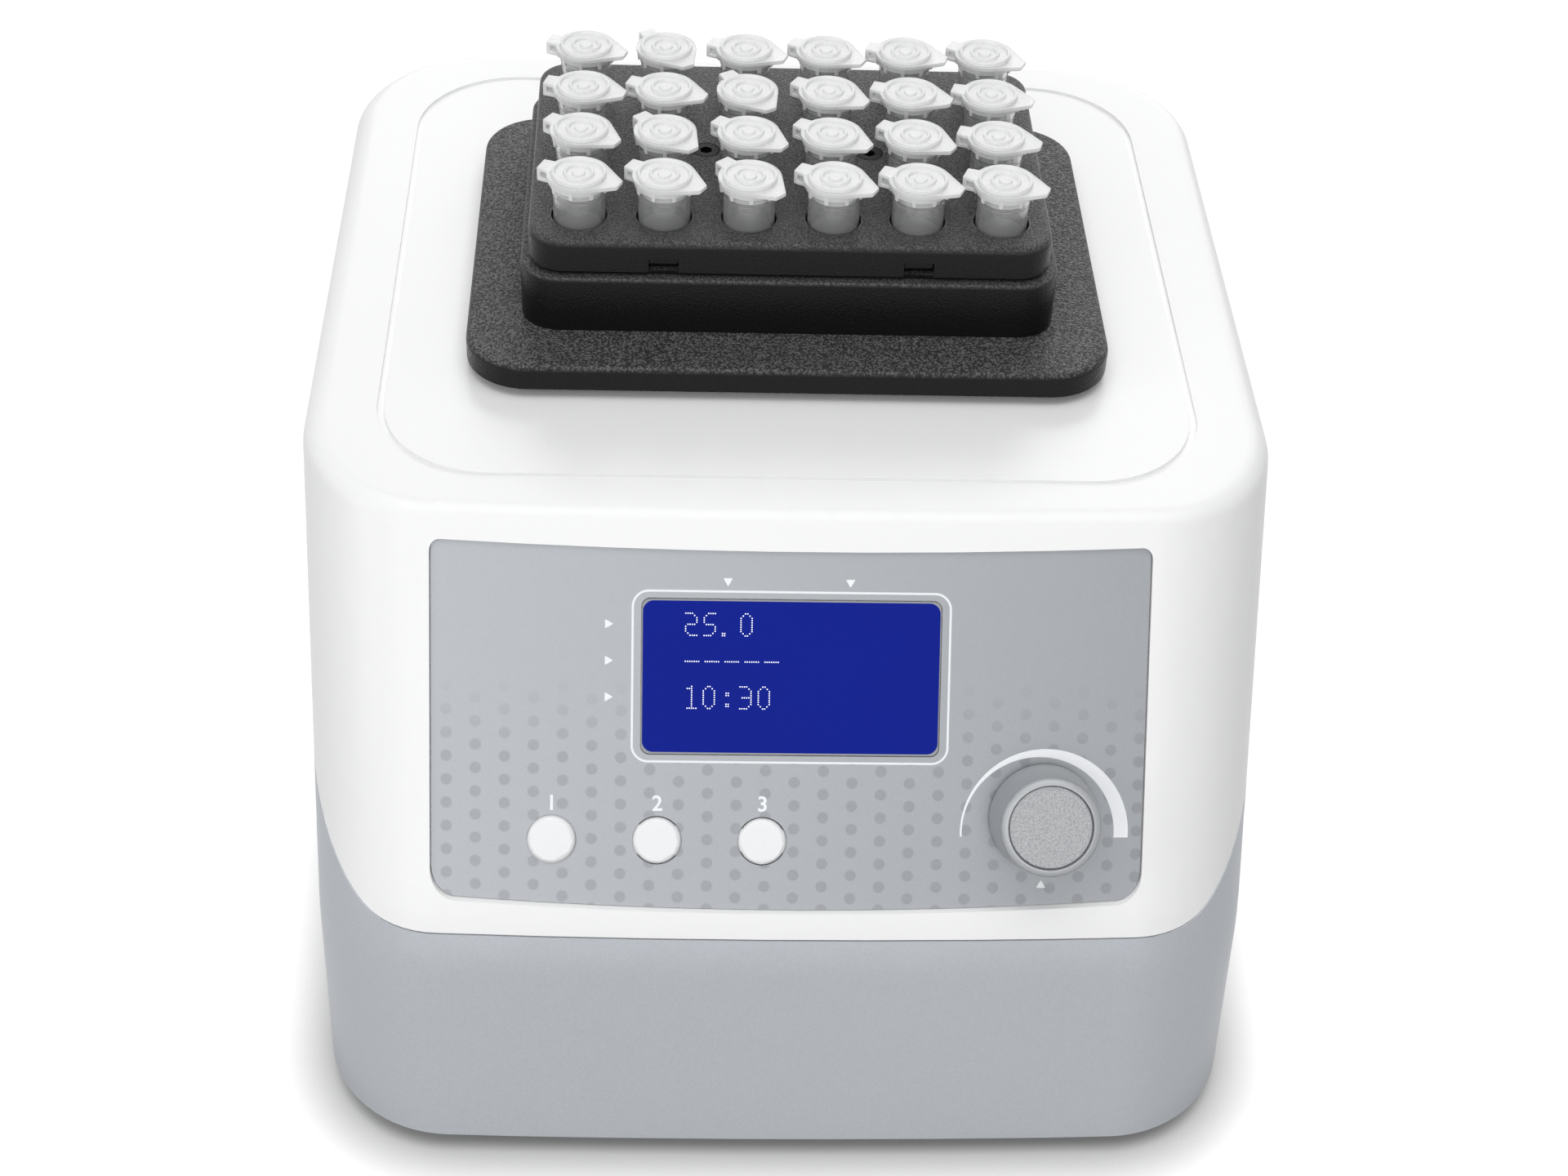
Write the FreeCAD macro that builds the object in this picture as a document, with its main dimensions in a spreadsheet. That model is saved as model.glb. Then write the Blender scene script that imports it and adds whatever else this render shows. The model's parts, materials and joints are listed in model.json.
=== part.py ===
"""Dry block heater: a two-part moulded case with a sloped control panel, a heated
aluminium block under a black snap-on cover, and twenty-four closed 2 mL tubes in its wells.

Millimetres, +Z up, front towards -Y. The origin lies on the bench under the middle of the object.
"""
import FreeCAD, Part
import os
import Sketcher

Vector = FreeCAD.Vector
doc = FreeCAD.newDocument("dry_block_heater")
dims = doc.addObject("Spreadsheet::Sheet", "dims")

# Driving dimensions, in millimetres and degrees
SIZES = [
    # Case
    ("case_width", 199.6),
    ("case_depth", 244.5),
    ("case_height", 118.0),
    ("side_draft", 1.85),
    ("wall", 3.2),
    ("corner_round", 27.0),
    ("rear_corner_round", 32.0),
    ("top_round", 5.0),
    ("base_chamfer", 1.0),
    ("front_bulge", 2500.0),
    ("lower_front_height", 47.0),
    ("lower_front_angle", 16.5),
    ("upper_front_angle", 35.0),
    ("knee_round", 56.0),
    ("rear_proud", 4.4),
    ("foot_height", 3.0),
    ("foot_radius", 8.0),
    ("foot_inset", 34.0),
    ("block_from_rear", 92.0),
    # Seam between the upper and lower case
    ("seam_rise_start", 17.7),
    ("seam_angle", 23.0),
    ("seam_rear_height", 84.0),
    ("seam_front_round", 25.0),
    ("seam_rear_round", 90.0),
    ("parting_gap", 0.3),
    # Line groove round the top
    ("groove_width", 169.4),
    ("groove_depth", 157.4),
    ("groove_round", 24.0),
    ("groove_line", 1.6),
    ("groove_sink", 0.8),
    # Screw posts
    ("post_radius", 4.5),
    ("post_x", 79.0),
    ("post_rear_inset", 21.0),
    ("post_front_inset", 45.0),
    ("boss_radius", 6.0),
    ("boss_height", 22.0),
    ("screw_radius", 2.0),
    ("screw_bite", 12.0),
    ("head_radius", 3.8),
    ("head_height", 2.8),
    ("head_seat", 11.0),
    ("hole_gap", 0.2),
    # Black plate, seal, skirt and cover of the block
    ("plate_width", 134.4),
    ("plate_depth", 99.4),
    ("plate_shift", 2.3),
    ("plate_thickness", 5.3),
    ("plate_round", 13.0),
    ("plate_edge", 1.2),
    ("seal_height", 2.2),
    ("seal_gauge", 4.0),
    ("seal_margin", 4.0),
    ("skirt_width", 112.0),
    ("skirt_depth", 76.6),
    ("skirt_height", 12.5),
    ("skirt_wall", 3.4),
    ("skirt_round", 8.0),
    ("skirt_edge", 0.8),
    ("cover_step_side", 1.75),
    ("cover_step_front", 1.6),
    ("cover_height", 8.0),
    ("cover_wall", 2.4),
    ("cover_top", 2.5),
    ("cover_round", 7.0),
    ("cover_edge", 1.6),
    ("shadow_height", 1.0),
    ("shadow_sink", 0.9),
    ("snap_x", 26.3),
    ("snap_width", 6.2),
    ("snap_height", 3.4),
    ("snap_gauge", 1.1),
    # Heat block, tubes and what heats and carries them
    ("tube_pitch", 17.5),
    ("well_gap", 0.3),
    ("cover_hole_gap", 0.4),
    ("seat_gap", 0.3),
    ("block_width", 102.0),
    ("block_depth", 65.6),
    ("block_height", 35.0),
    ("block_gap", 0.2),
    ("block_screw_radius", 1.5),
    ("block_head_radius", 2.75),
    ("block_head_height", 1.6),
    ("heater_length", 132.0),
    ("heater_depth", 72.0),
    ("heater_thickness", 6.0),
    ("mat_width", 100.0),
    ("mat_depth", 64.0),
    ("mat_thickness", 1.5),
    ("insulation_height", 20.0),
    ("insulation_margin", 6.0),
    ("bracket_depth", 60.0),
    ("bracket_gauge", 1.5),
    ("bracket_flange", 11.0),
    ("probe_radius", 1.5),
    ("probe_length", 26.0),
    ("probe_head", 8.0),
    ("cutout_radius", 6.0),
    ("cutout_height", 4.5),
    ("tube_radius", 5.4),
    ("tube_wall", 0.9),
    ("tube_length", 39.5),
    ("tube_stand", 10.4),
    ("collar_radius", 6.0),
    ("collar_height", 2.2),
    ("lid_radius", 6.6),
    ("lid_thickness", 1.5),
    ("lid_rim", 0.7),
    ("tab_reach", 9.3),
    ("tab_width", 3.2),
    ("strap_reach", 8.7),
    ("strap_width", 4.2),
    ("strap_gauge", 0.9),
    # Control panel and what is behind it
    ("panel_width", 143.0),
    ("panel_rise", 58.7),
    ("panel_margin", 6.6),
    ("panel_thickness", 1.0),
    ("panel_sink", 0.8),
    ("panel_top_bow", 0.8),
    ("panel_bottom_bow", 1.5),
    ("panel_top_round", 1.8),
    ("panel_bottom_round", 5.0),
    ("fit_gap", 0.25),
    ("window_width", 59.4),
    ("window_height", 31.0),
    ("window_up", 10.0),
    ("window_round", 1.6),
    ("window_ledge", 1.5),
    ("board_width", 128.0),
    ("board_height", 58.0),
    ("board_thickness", 1.6),
    ("board_setback", 15.0),
    ("board_post_x", 60.5),
    ("board_post_up", 26.0),
    ("board_post_radius", 3.0),
    ("module_width", 68.0),
    ("module_height", 40.0),
    ("module_thickness", 8.5),
    ("key_size", 6.0),
    ("key_height", 3.6),
    ("key_stem_radius", 1.7),
    ("key_stem_height", 0.8),
    ("button_radius", 4.7),
    ("button_pitch", 21.1),
    ("button_first", -47.5),
    ("button_up", -23.1),
    ("button_proud", 0.9),
    ("button_edge", 0.6),
    ("button_travel", 0.8),
    ("button_flange", 1.3),
    ("button_flange_height", 1.2),
    ("knob_x", 51.3),
    ("knob_up", -17.8),
    ("knob_radius", 11.0),
    ("knob_top_radius", 10.0),
    ("knob_height", 11.0),
    ("knob_gap", 1.2),
    ("knob_hollow_radius", 8.0),
    ("knob_hollow", 5.0),
    ("knob_bevel", 0.8),
    ("cap_radius", 8.5),
    ("cap_thickness", 1.2),
    ("cap_sink", 0.6),
    ("push_travel", 0.8),
    ("shaft_radius", 3.0),
    ("shaft_gap", 0.05),
    ("bushing_radius", 3.5),
    ("nut_size", 10.0),
    ("nut_height", 2.0),
    ("encoder_size", 12.4),
    ("encoder_height", 6.5),
    ("plunger_radius", 3.1),
    ("plunger_height", 1.2),
    # Rear inlet, switch, fuse and vents
    ("inlet_x", -40.0),
    ("inlet_z", 40.0),
    ("flange_width", 62.0),
    ("flange_height", 36.0),
    ("flange_thickness", 2.0),
    ("flange_lip", 3.0),
    ("inlet_body_depth", 27.0),
    ("socket_width", 24.5),
    ("socket_height", 16.5),
    ("socket_depth", 17.0),
    ("socket_side", -9.0),
    ("socket_up", 5.0),
    ("socket_corner", 4.0),
    ("pin_length", 14.0),
    ("pin_width", 4.0),
    ("pin_gauge", 2.0),
    ("pin_spacing", 7.0),
    ("drawer_width", 24.0),
    ("drawer_height", 8.0),
    ("drawer_depth", 24.0),
    ("drawer_up", -10.5),
    ("drawer_gap", 0.3),
    ("fuse_radius", 2.6),
    ("fuse_length", 20.0),
    ("rocker_side", 19.0),
    ("rocker_width", 13.0),
    ("rocker_length", 20.0),
    ("rocker_tilt", 11.0),
    ("rocker_gap", 0.4),
    ("vent_width", 2.5),
    ("vent_height", 26.0),
    ("vent_pitch", 6.0),
    ("vent_x", 18.0),
    ("supply_width", 104.0),
    ("supply_depth", 56.0),
    ("supply_lift", 6.0),
]

COLUMNS = 6
ROWS = 4
VENTS = 8

# Direction of each lid's thumb tab, in degrees from +X, one list for each row from the front
TAB_DIRECTIONS = [
    [-24, -31, -48, -29, -25, -22],
    [-34, -50, -36, -33, -33, -18],
    [-18, -22, -58, -31, -20, -18],
    [-20, -58, -22, -29, -18, -28],
]

for row, (alias, value) in enumerate(SIZES, start=1):
    dims.set(f"A{row}", alias.replace("_", " "))
    dims.set(f"B{row}", str(value))
    dims.setAlias(f"B{row}", alias)
doc.recompute()

# Places worked out from the driving dimensions
CASE_BOTTOM = "dims.foot_height"
CASE_TOP = "(dims.foot_height + dims.case_height)"
FLOOR = "(dims.foot_height + dims.wall)"
FRONT = "(-(dims.case_depth + dims.rear_proud + dims.base_chamfer * sin(dims.lower_front_angle)) / 2)"
REAR = f"({FRONT} + dims.case_depth)"
BLOCK_Y = f"({REAR} - dims.block_from_rear)"
KNEE_Y = f"({FRONT} + dims.lower_front_height * tan(dims.lower_front_angle))"
KNEE_Z = "(dims.foot_height + dims.lower_front_height)"
PANEL_Z = f"({KNEE_Z} + dims.panel_margin + dims.panel_rise / 2)"
PANEL_Y = f"({KNEE_Y} + (dims.panel_margin + dims.panel_rise / 2) * tan(dims.upper_front_angle))"
PANEL_TILT = "(90 - dims.upper_front_angle)"
PLATE_BOTTOM = f"({CASE_TOP} + dims.seal_height)"
PLATE_TOP = f"({PLATE_BOTTOM} + dims.plate_thickness)"
SKIRT_TOP = f"({PLATE_TOP} + dims.skirt_height)"
RACK_TOP = f"({SKIRT_TOP} + dims.cover_height)"
COVER_WIDTH = "(dims.skirt_width - 2 * dims.cover_step_side)"
COVER_DEPTH = "(dims.skirt_depth - 2 * dims.cover_step_front)"
BLOCK_TOP = f"({RACK_TOP} - dims.cover_top - dims.block_gap)"
BLOCK_BOTTOM = f"({BLOCK_TOP} - dims.block_height)"
TUBE_BOTTOM = f"({RACK_TOP} + dims.tube_stand - dims.tube_length)"
WELL_BOTTOM = f"({TUBE_BOTTOM} - dims.seat_gap)"
WELL_RADIUS = "(dims.tube_radius + dims.well_gap)"
HEATER_BOTTOM = f"({BLOCK_BOTTOM} - dims.heater_thickness)"
MAT_BOTTOM = f"({HEATER_BOTTOM} - dims.mat_thickness)"
SHELF_TOP = f"({MAT_BOTTOM} - dims.insulation_height)"
INSULATION_WIDTH = "(dims.heater_length + 2 * dims.insulation_margin)"
INSULATION_DEPTH = "(dims.heater_depth + 2 * dims.insulation_margin)"
RECESS = "(dims.panel_sink + dims.panel_thickness)"
BOARD_FACE = "(-dims.board_setback)"
ENCODER_TOP = f"({BOARD_FACE} + dims.encoder_height)"
HALF_COLUMNS = f"({COLUMNS - 1} / 2 * dims.tube_pitch)"
HALF_ROWS = f"({ROWS - 1} / 2 * dims.tube_pitch)"
LONG = "(2 * dims.case_depth)"


def number(expression):
    """Value of an expression on the sheet."""
    return float(dims.evalExpression(str(expression)))


def bind(feature, **sizes):
    """Tie the named properties to expressions on the sheet."""
    for name, expression in sizes.items():
        feature.setExpression(name, expression)


def place(feature, x="0", y="0", z="0", axis=Vector(1, 0, 0), angle=None):
    """Tie a feature's place, and its turn about an axis, to the sheet."""
    if angle is not None:
        feature.Placement = FreeCAD.Placement(Vector(), FreeCAD.Rotation(axis, number(angle)))
        feature.setExpression("Placement.Rotation.Angle", angle)
    bind(feature, **{"Placement.Base.x": x, "Placement.Base.y": y, "Placement.Base.z": z})
    return feature


def bulge_sag(x):
    """How far the bowed front lies behind its middle line at a distance x from it."""
    return f"(dims.front_bulge - sqrt(dims.front_bulge ^ 2 - ({x}) ^ 2))"


def on_panel(x="0", up="0", out="0"):
    """Point given by its distance across, up and out from the middle of the panel."""
    slope = "dims.upper_front_angle"
    y = f"({PANEL_Y} + ({up}) * sin({slope}) - ({out}) * cos({slope}))"
    z = f"({PANEL_Z} + ({up}) * cos({slope}) + ({out}) * sin({slope}))"
    return x, y, z


def to_panel(feature, x="0", up="0", out="0"):
    """Stand a feature square to the panel, its own Z outwards."""
    return place(feature, *on_panel(x, up, out), angle=PANEL_TILT)


def to_rear(feature, x, z, out="0"):
    """Stand a feature square to the rear wall, its own Z outwards and its own Y downwards."""
    return place(feature, x, f"({REAR} + ({out}))", z, angle="-90")


def new_body(label):
    body = doc.addObject("PartDesign::Body", label)
    body.Label = label
    return body


def new_sketch(body, role, lift="0"):
    """Sketch on one of the body's own origin planes, lifted along its normal."""
    plane = next(item for item in body.Origin.OriginFeatures if item.Role == role)
    sketch = body.newObject("Sketcher::SketchObject", body.Name + "_sketch")
    sketch.AttachmentSupport = (plane, [""])
    sketch.MapMode = "FlatFace"
    sketch.setExpression("AttachmentOffset.Base.z", lift)
    return sketch


def pin_down(sketch, geometry, point, tag, x, y):
    """Hold one sketch point at a place on the sheet."""
    for axis, expression in (("X", x), ("Y", y)):
        name = f"{tag}_{axis.lower()}"
        rule = Sketcher.Constraint(f"Distance{axis}", -1, 1, geometry, point, number(expression))
        sketch.renameConstraint(sketch.addConstraint(rule), name)
        sketch.setExpression(f"Constraints.{name}", expression)


def outline(sketch, points):
    """Closed outline of straight lines through points of the sheet."""
    places = [Vector(number(x), number(y), 0) for x, y in points]
    first = sketch.GeometryCount
    count = len(points)
    for index in range(count):
        sketch.addGeometry(Part.LineSegment(places[index], places[(index + 1) % count]))
    for index in range(count):
        follower = first + (index + 1) % count
        sketch.addConstraint(Sketcher.Constraint("Coincident", first + index, 2, follower, 1))
    for index, (x, y) in enumerate(points):
        pin_down(sketch, first + index, 1, f"p{first + index}", x, y)


def rectangle(sketch, width, depth):
    """Rectangle about the sketch's own origin."""
    half_width = f"(({width}) / 2)"
    half_depth = f"(({depth}) / 2)"
    outline(sketch, [
        (f"-{half_width}", f"-{half_depth}"),
        (half_width, f"-{half_depth}"),
        (half_width, half_depth),
        (f"-{half_width}", half_depth),
    ])


def circle(sketch, radius, x="0", y="0"):
    """Circle of a sheet radius at a sheet place."""
    centre = Vector(number(x), number(y), 0)
    index = sketch.addGeometry(Part.Circle(centre, Vector(0, 0, 1), number(radius)))
    rule = sketch.addConstraint(Sketcher.Constraint("Radius", index, number(radius)))
    sketch.renameConstraint(rule, f"r{index}")
    sketch.setExpression(f"Constraints.r{index}", radius)
    pin_down(sketch, index, 3, f"c{index}", x, y)


def pad(body, sketch, length, midplane=False):
    feature = body.newObject("PartDesign::Pad", body.Name + "_pad")
    feature.Profile = sketch
    feature.Midplane = midplane
    feature.setExpression("Length", length)
    doc.recompute()
    return feature


def edges_of(feature, test):
    """Names of the edges that pass a test."""
    return [f"Edge{i}" for i, edge in enumerate(feature.Shape.Edges, start=1) if test(edge)]


def fillet(body, feature, test, radius):
    """Round the edges of a body's feature that pass a test."""
    rounded = body.newObject("PartDesign::Fillet", body.Name + "_fillet")
    rounded.Base = (feature, edges_of(feature, test))
    rounded.setExpression("Radius", radius)
    doc.recompute()
    return rounded


def chamfer(body, feature, test, size):
    """Bevel the edges of a body's feature that pass a test."""
    bevelled = body.newObject("PartDesign::Chamfer", body.Name + "_chamfer")
    bevelled.Base = (feature, edges_of(feature, test))
    bevelled.setExpression("Size", size)
    doc.recompute()
    return bevelled


def is_upright(edge):
    """Edge that runs along the body's own Z."""
    box = edge.BoundBox
    return box.XLength < 1e-6 and box.YLength < 1e-6


def lies_at(height):
    """Test for edges that lie in the level plane at a height."""
    level = number(height)
    return lambda edge: max(abs(edge.BoundBox.ZMin - level), abs(edge.BoundBox.ZMax - level)) < 1e-6


def slab(label, width, depth, height, corner=None, top_edge=None):
    """Plate about its own Z axis, with rounded corners and a rounded top edge where given."""
    body = new_body(label)
    sketch = new_sketch(body, "XY_Plane")
    rectangle(sketch, width, depth)
    feature = pad(body, sketch, height)
    if corner:
        feature = fillet(body, feature, is_upright, corner)
    if top_edge:
        fillet(body, feature, lies_at(height), top_edge)
    return body


def turned(label, points):
    """Piece turned about its own Z axis from a half section of (radius, height) points."""
    body = new_body(label)
    sketch = new_sketch(body, "XZ_Plane")
    outline(sketch, points)
    feature = body.newObject("PartDesign::Revolution", label + "_turn")
    feature.Profile = sketch
    feature.ReferenceAxis = (sketch, ["V_Axis"])
    feature.Angle = 360
    doc.recompute()
    return body


def block_box(label, width, depth, height):
    """Plain box whose corner is its own origin."""
    feature = doc.addObject("Part::Box", label)
    feature.Label = label
    bind(feature, Length=width, Width=depth, Height=height)
    return feature


def rod(label, radius, height):
    """Plain cylinder along its own Z."""
    feature = doc.addObject("Part::Cylinder", label)
    feature.Label = label
    bind(feature, Radius=radius, Height=height)
    return feature


def fuse(label, pieces):
    feature = doc.addObject("Part::MultiFuse", label)
    feature.Label = label
    feature.Shapes = pieces
    return feature


def common(label, pieces):
    feature = doc.addObject("Part::MultiCommon", label)
    feature.Label = label
    feature.Shapes = pieces
    return feature


def cut(label, base, tool):
    feature = doc.addObject("Part::Cut", label)
    feature.Label = label
    feature.Base = base
    feature.Tool = tool
    return feature


def front_cut(body, angle, inset):
    """Cut the case's front to a bowed face that leans back from the knee line."""
    sketch = new_sketch(body, "YZ_Plane")
    along = (f"sin({angle})", f"cos({angle})")
    out = (f"-cos({angle})", f"sin({angle})")
    reach = "dims.case_depth"

    def point(run, rise):
        y = f"({KNEE_Y} + ({run}) * {along[0]} + ({rise}) * ({out[0]}))"
        z = f"({KNEE_Z} + ({run}) * {along[1]} + ({rise}) * ({out[1]}))"
        return y, z

    face = f"-({inset})"
    outline(sketch, [
        point(f"-{reach}", face),
        point(reach, face),
        point(reach, reach),
        point(f"-{reach}", reach),
    ])
    ends = [point("0", "-dims.front_bulge"), point(reach, "-dims.front_bulge")]
    places = [Vector(number(y), number(z), 0) for y, z in ends]
    axis = sketch.addGeometry(Part.LineSegment(*places), True)
    pin_down(sketch, axis, 1, "axis_low", *ends[0])
    pin_down(sketch, axis, 2, "axis_high", *ends[1])
    groove = body.newObject("PartDesign::Groove", body.Name + "_front")
    groove.Profile = sketch
    groove.ReferenceAxis = (sketch, ["Axis0"])
    groove.Midplane = True
    groove.Angle = 30
    doc.recompute()
    return groove


def case_form(label, inset):
    """Outer form of the case, or the same form set in by a wall."""
    body = new_body(label)
    low = f"({CASE_BOTTOM} + {inset})"
    high = f"({CASE_TOP} - {inset})"
    half = "(dims.case_width / 2 - ({0} - {1}) * tan(dims.side_draft) - {2})"
    half_low = half.format(CASE_TOP, low, inset)
    half_high = half.format(CASE_TOP, high, inset)
    sketch = new_sketch(body, "XZ_Plane", f"-({REAR} - {inset})")
    outline(sketch, [
        (f"-{half_low}", low),
        (half_low, low),
        (half_high, high),
        (f"-{half_high}", high),
    ])
    pad(body, sketch, "(dims.case_depth + dims.corner_round)")
    front_cut(body, "dims.lower_front_angle", inset)
    feature = front_cut(body, "dims.upper_front_angle", inset)
    knee = number(KNEE_Z)
    near_knee = number("dims.wall") + 1
    width = number("dims.case_width")

    def is_knee(edge):
        box = edge.BoundBox
        return box.XLength > width / 3 and abs(box.Center.z - knee) < near_knee and box.ZLength < near_knee

    def is_corner(edge):
        box = edge.BoundBox
        return box.XLength < width / 10 and box.ZLength > 1 and abs(box.Center.x) > width / 3

    if inset == "0":
        feature = fillet(body, feature, is_knee, "dims.knee_round")
    feature = fillet(body, feature, lambda edge: is_corner(edge) and edge.BoundBox.Center.y < 0,
                     f"(dims.corner_round - {inset})")
    middle = number(BLOCK_Y)
    feature = fillet(body, feature, lambda edge: is_corner(edge) and edge.BoundBox.Center.y > middle,
                     f"(dims.rear_corner_round - {inset})")
    if inset == "0":
        feature = fillet(body, feature, lies_at(high), "dims.top_round")
        chamfer(body, feature, lies_at(low), "dims.base_chamfer")
    return body


def seam_region(label, drop):
    """Everything above the seam, which runs level across the front and sweeps up the sides."""
    body = new_body(label)
    sketch = new_sketch(body, "YZ_Plane")
    front_level = f"({KNEE_Z} - {drop})"
    rear_level = f"({CASE_BOTTOM} + dims.seam_rear_height - {drop})"
    start = f"({FRONT} + dims.seam_rise_start)"
    finish = f"({start} + ({rear_level} - {front_level}) / tan(dims.seam_angle))"
    ceiling = f"({CASE_TOP} + dims.case_height)"
    outline(sketch, [
        (f"({FRONT} - dims.case_depth)", front_level),
        (start, front_level),
        (finish, rear_level),
        (f"({REAR} + dims.case_depth)", rear_level),
        (f"({REAR} + dims.case_depth)", ceiling),
        (f"({FRONT} - dims.case_depth)", ceiling),
    ])
    feature = pad(body, sketch, "(2 * dims.case_width)", midplane=True)

    def runs_across_at(y):
        place_y = number(y)
        return lambda edge: edge.BoundBox.YLength < 1e-6 and abs(edge.BoundBox.YMin - place_y) < 1e-6

    feature = fillet(body, feature, runs_across_at(start), "dims.seam_front_round")
    fillet(body, feature, runs_across_at(finish), "dims.seam_rear_round")
    return body


def front_layer(label, depth):
    """Everything behind the bowed upper front face, set in by a depth."""
    feature = rod(label, f"(dims.front_bulge - {depth})", LONG)
    slope = "dims.upper_front_angle"
    y = f"({KNEE_Y} + dims.front_bulge * cos({slope}) - dims.case_depth * sin({slope}))"
    z = f"({KNEE_Z} - dims.front_bulge * sin({slope}) - dims.case_depth * cos({slope}))"
    return place(feature, "0", y, z, angle=f"-{slope}")


def bowed_edge(sketch, tag, left, right, bow):
    """Shallow arc between two sketch points at one height, lower in its middle by the bow."""
    chord = f"(({right[0]}) - ({left[0]}))"
    radius = f"({chord} ^ 2 / 8 / ({bow}) + ({bow}) / 2)"
    size = number(radius)
    centre = Vector(0, number(left[1]) - number(bow) + size, 0)
    ends = [Vector(number(x), number(y), 0) for x, y in (left, right)]
    middle = centre - Vector(0, size, 0)
    index = sketch.addGeometry(Part.Arc(ends[0], middle, ends[1]))
    rule = sketch.addConstraint(Sketcher.Constraint("Radius", index, size))
    sketch.renameConstraint(rule, f"{tag}_radius")
    sketch.setExpression(f"Constraints.{tag}_radius", radius)
    return index


def panel_outline(label, growth):
    """Prism with the panel's bowed outline in front view, grown by a clearance."""
    body = new_body(label)
    sketch = new_sketch(body, "XY_Plane")
    half_width = f"(dims.panel_width / 2 + {growth})"
    half_rise = f"(dims.panel_rise / 2 + {growth})"
    low_left = (f"-{half_width}", f"-{half_rise}")
    low_right = (half_width, f"-{half_rise}")
    high_left = (f"-{half_width}", half_rise)
    high_right = (half_width, half_rise)
    bottom = bowed_edge(sketch, "bottom", low_left, low_right, "dims.panel_bottom_bow")
    top = bowed_edge(sketch, "top", high_left, high_right, "dims.panel_top_bow")
    for low, high, end in ((low_left, high_left, 1), (low_right, high_right, 2)):
        places = [Vector(number(x), number(y), 0) for x, y in (low, high)]
        side = sketch.addGeometry(Part.LineSegment(*places))
        sketch.addConstraint(Sketcher.Constraint("Coincident", side, 1, bottom, end))
        sketch.addConstraint(Sketcher.Constraint("Coincident", side, 2, top, end))
        pin_down(sketch, side, 1, f"low_{end}", *low)
        pin_down(sketch, side, 2, f"high_{end}", *high)
    feature = pad(body, sketch, "dims.case_depth", midplane=True)
    low_corner = lambda edge: is_upright(edge) and edge.BoundBox.Center.y < 0
    high_corner = lambda edge: is_upright(edge) and edge.BoundBox.Center.y > 0
    feature = fillet(body, feature, low_corner, f"(dims.panel_bottom_round + {growth})")
    fillet(body, feature, high_corner, f"(dims.panel_top_round + {growth})")
    return place(body, "0", PANEL_Y, PANEL_Z, angle="90")


def window_outline(label, growth):
    """Prism with the display window's outline, square to the panel."""
    body = slab(
        label,
        f"dims.window_width + 2 * {growth}",
        f"dims.window_height + 2 * {growth}",
        "2 * dims.board_setback",
        f"max(dims.window_round + {growth}; dims.window_round / 4)",
    )
    return to_panel(body, up="dims.window_up", out="-dims.board_setback")


BUTTONS = ["program_button", "temperature_button", "time_button"]


def button_x(index):
    return f"(dims.button_first + {index} * dims.button_pitch)"


def panel_holes(label, gap):
    """Round holes for the buttons and the encoder's bushing, square to the panel."""
    holes = []
    for index, name in enumerate(BUTTONS):
        hole = rod(f"{label}_{name}", f"(dims.button_radius + {gap})", "2 * dims.board_setback")
        holes.append(to_panel(hole, button_x(index), "dims.button_up", "-dims.board_setback"))
    bushing = rod(f"{label}_bushing", f"(dims.bushing_radius + {gap})", "2 * dims.board_setback")
    holes.append(to_panel(bushing, "dims.knob_x", "dims.knob_up", "-dims.board_setback"))
    return holes


def four_places(x, y_front, y_rear):
    """Left and right places at the front and at the rear."""
    return [(f"({side} * {x})", y) for y in (y_front, y_rear) for side in (-1, 1)]


POST_PLACES = four_places(
    "dims.post_x", f"({FRONT} + dims.post_front_inset)", f"({REAR} - dims.post_rear_inset)")
POST_BOTTOM = f"({CASE_BOTTOM} + dims.boss_height)"
FOOT_PLACES = four_places(
    "(dims.case_width / 2 - dims.foot_inset)",
    f"({FRONT} + dims.foot_inset)",
    f"({REAR} - dims.foot_inset)")
SUPPLY_PLACES = four_places(
    "(dims.supply_width / 2 - dims.post_radius)",
    f"({BLOCK_Y} - dims.supply_depth / 2 + dims.post_radius)",
    f"({BLOCK_Y} + dims.supply_depth / 2 - dims.post_radius)")


def rods_at(label, places, radius, bottom, height):
    """The same upright rod at several places."""
    rods = []
    for index, (x, y) in enumerate(places):
        rods.append(place(rod(f"{label}_{index}", radius, height), x, y, bottom))
    return rods


def block_rods(label, radius, bottom, height):
    """Upright rods on the grid of the wells."""
    body = new_body(label)
    sketch = new_sketch(body, "XY_Plane")
    circle(sketch, radius, f"-{HALF_COLUMNS}", f"-{HALF_ROWS}")
    first = pad(body, sketch, height)
    grid = body.newObject("PartDesign::LinearPattern", label + "_grid")
    grid.Originals = [first]
    grid.Direction = (sketch, ["H_Axis"])
    grid.Occurrences = COLUMNS
    grid.Direction2 = (sketch, ["V_Axis"])
    grid.Occurrences2 = ROWS
    bind(grid, Length=f"2 * {HALF_COLUMNS}", Length2=f"2 * {HALF_ROWS}")
    body.Tip = grid
    doc.recompute()
    return place(body, "0", BLOCK_Y, bottom)


def block_screw_rods(label, radius, bottom, height):
    """Upright rods at the two fixing screws, between the middle rows of wells."""
    places = [("(-dims.tube_pitch)", BLOCK_Y), ("dims.tube_pitch", BLOCK_Y)]
    return rods_at(label, places, radius, bottom, height)


def at_block(body, bottom):
    return place(body, "0", BLOCK_Y, bottom)


def at_plate(body, bottom):
    """Centre a body on the plate, which reaches further to the front of the block than behind it."""
    return place(body, "0", f"({BLOCK_Y} - dims.plate_shift)", bottom)


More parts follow.
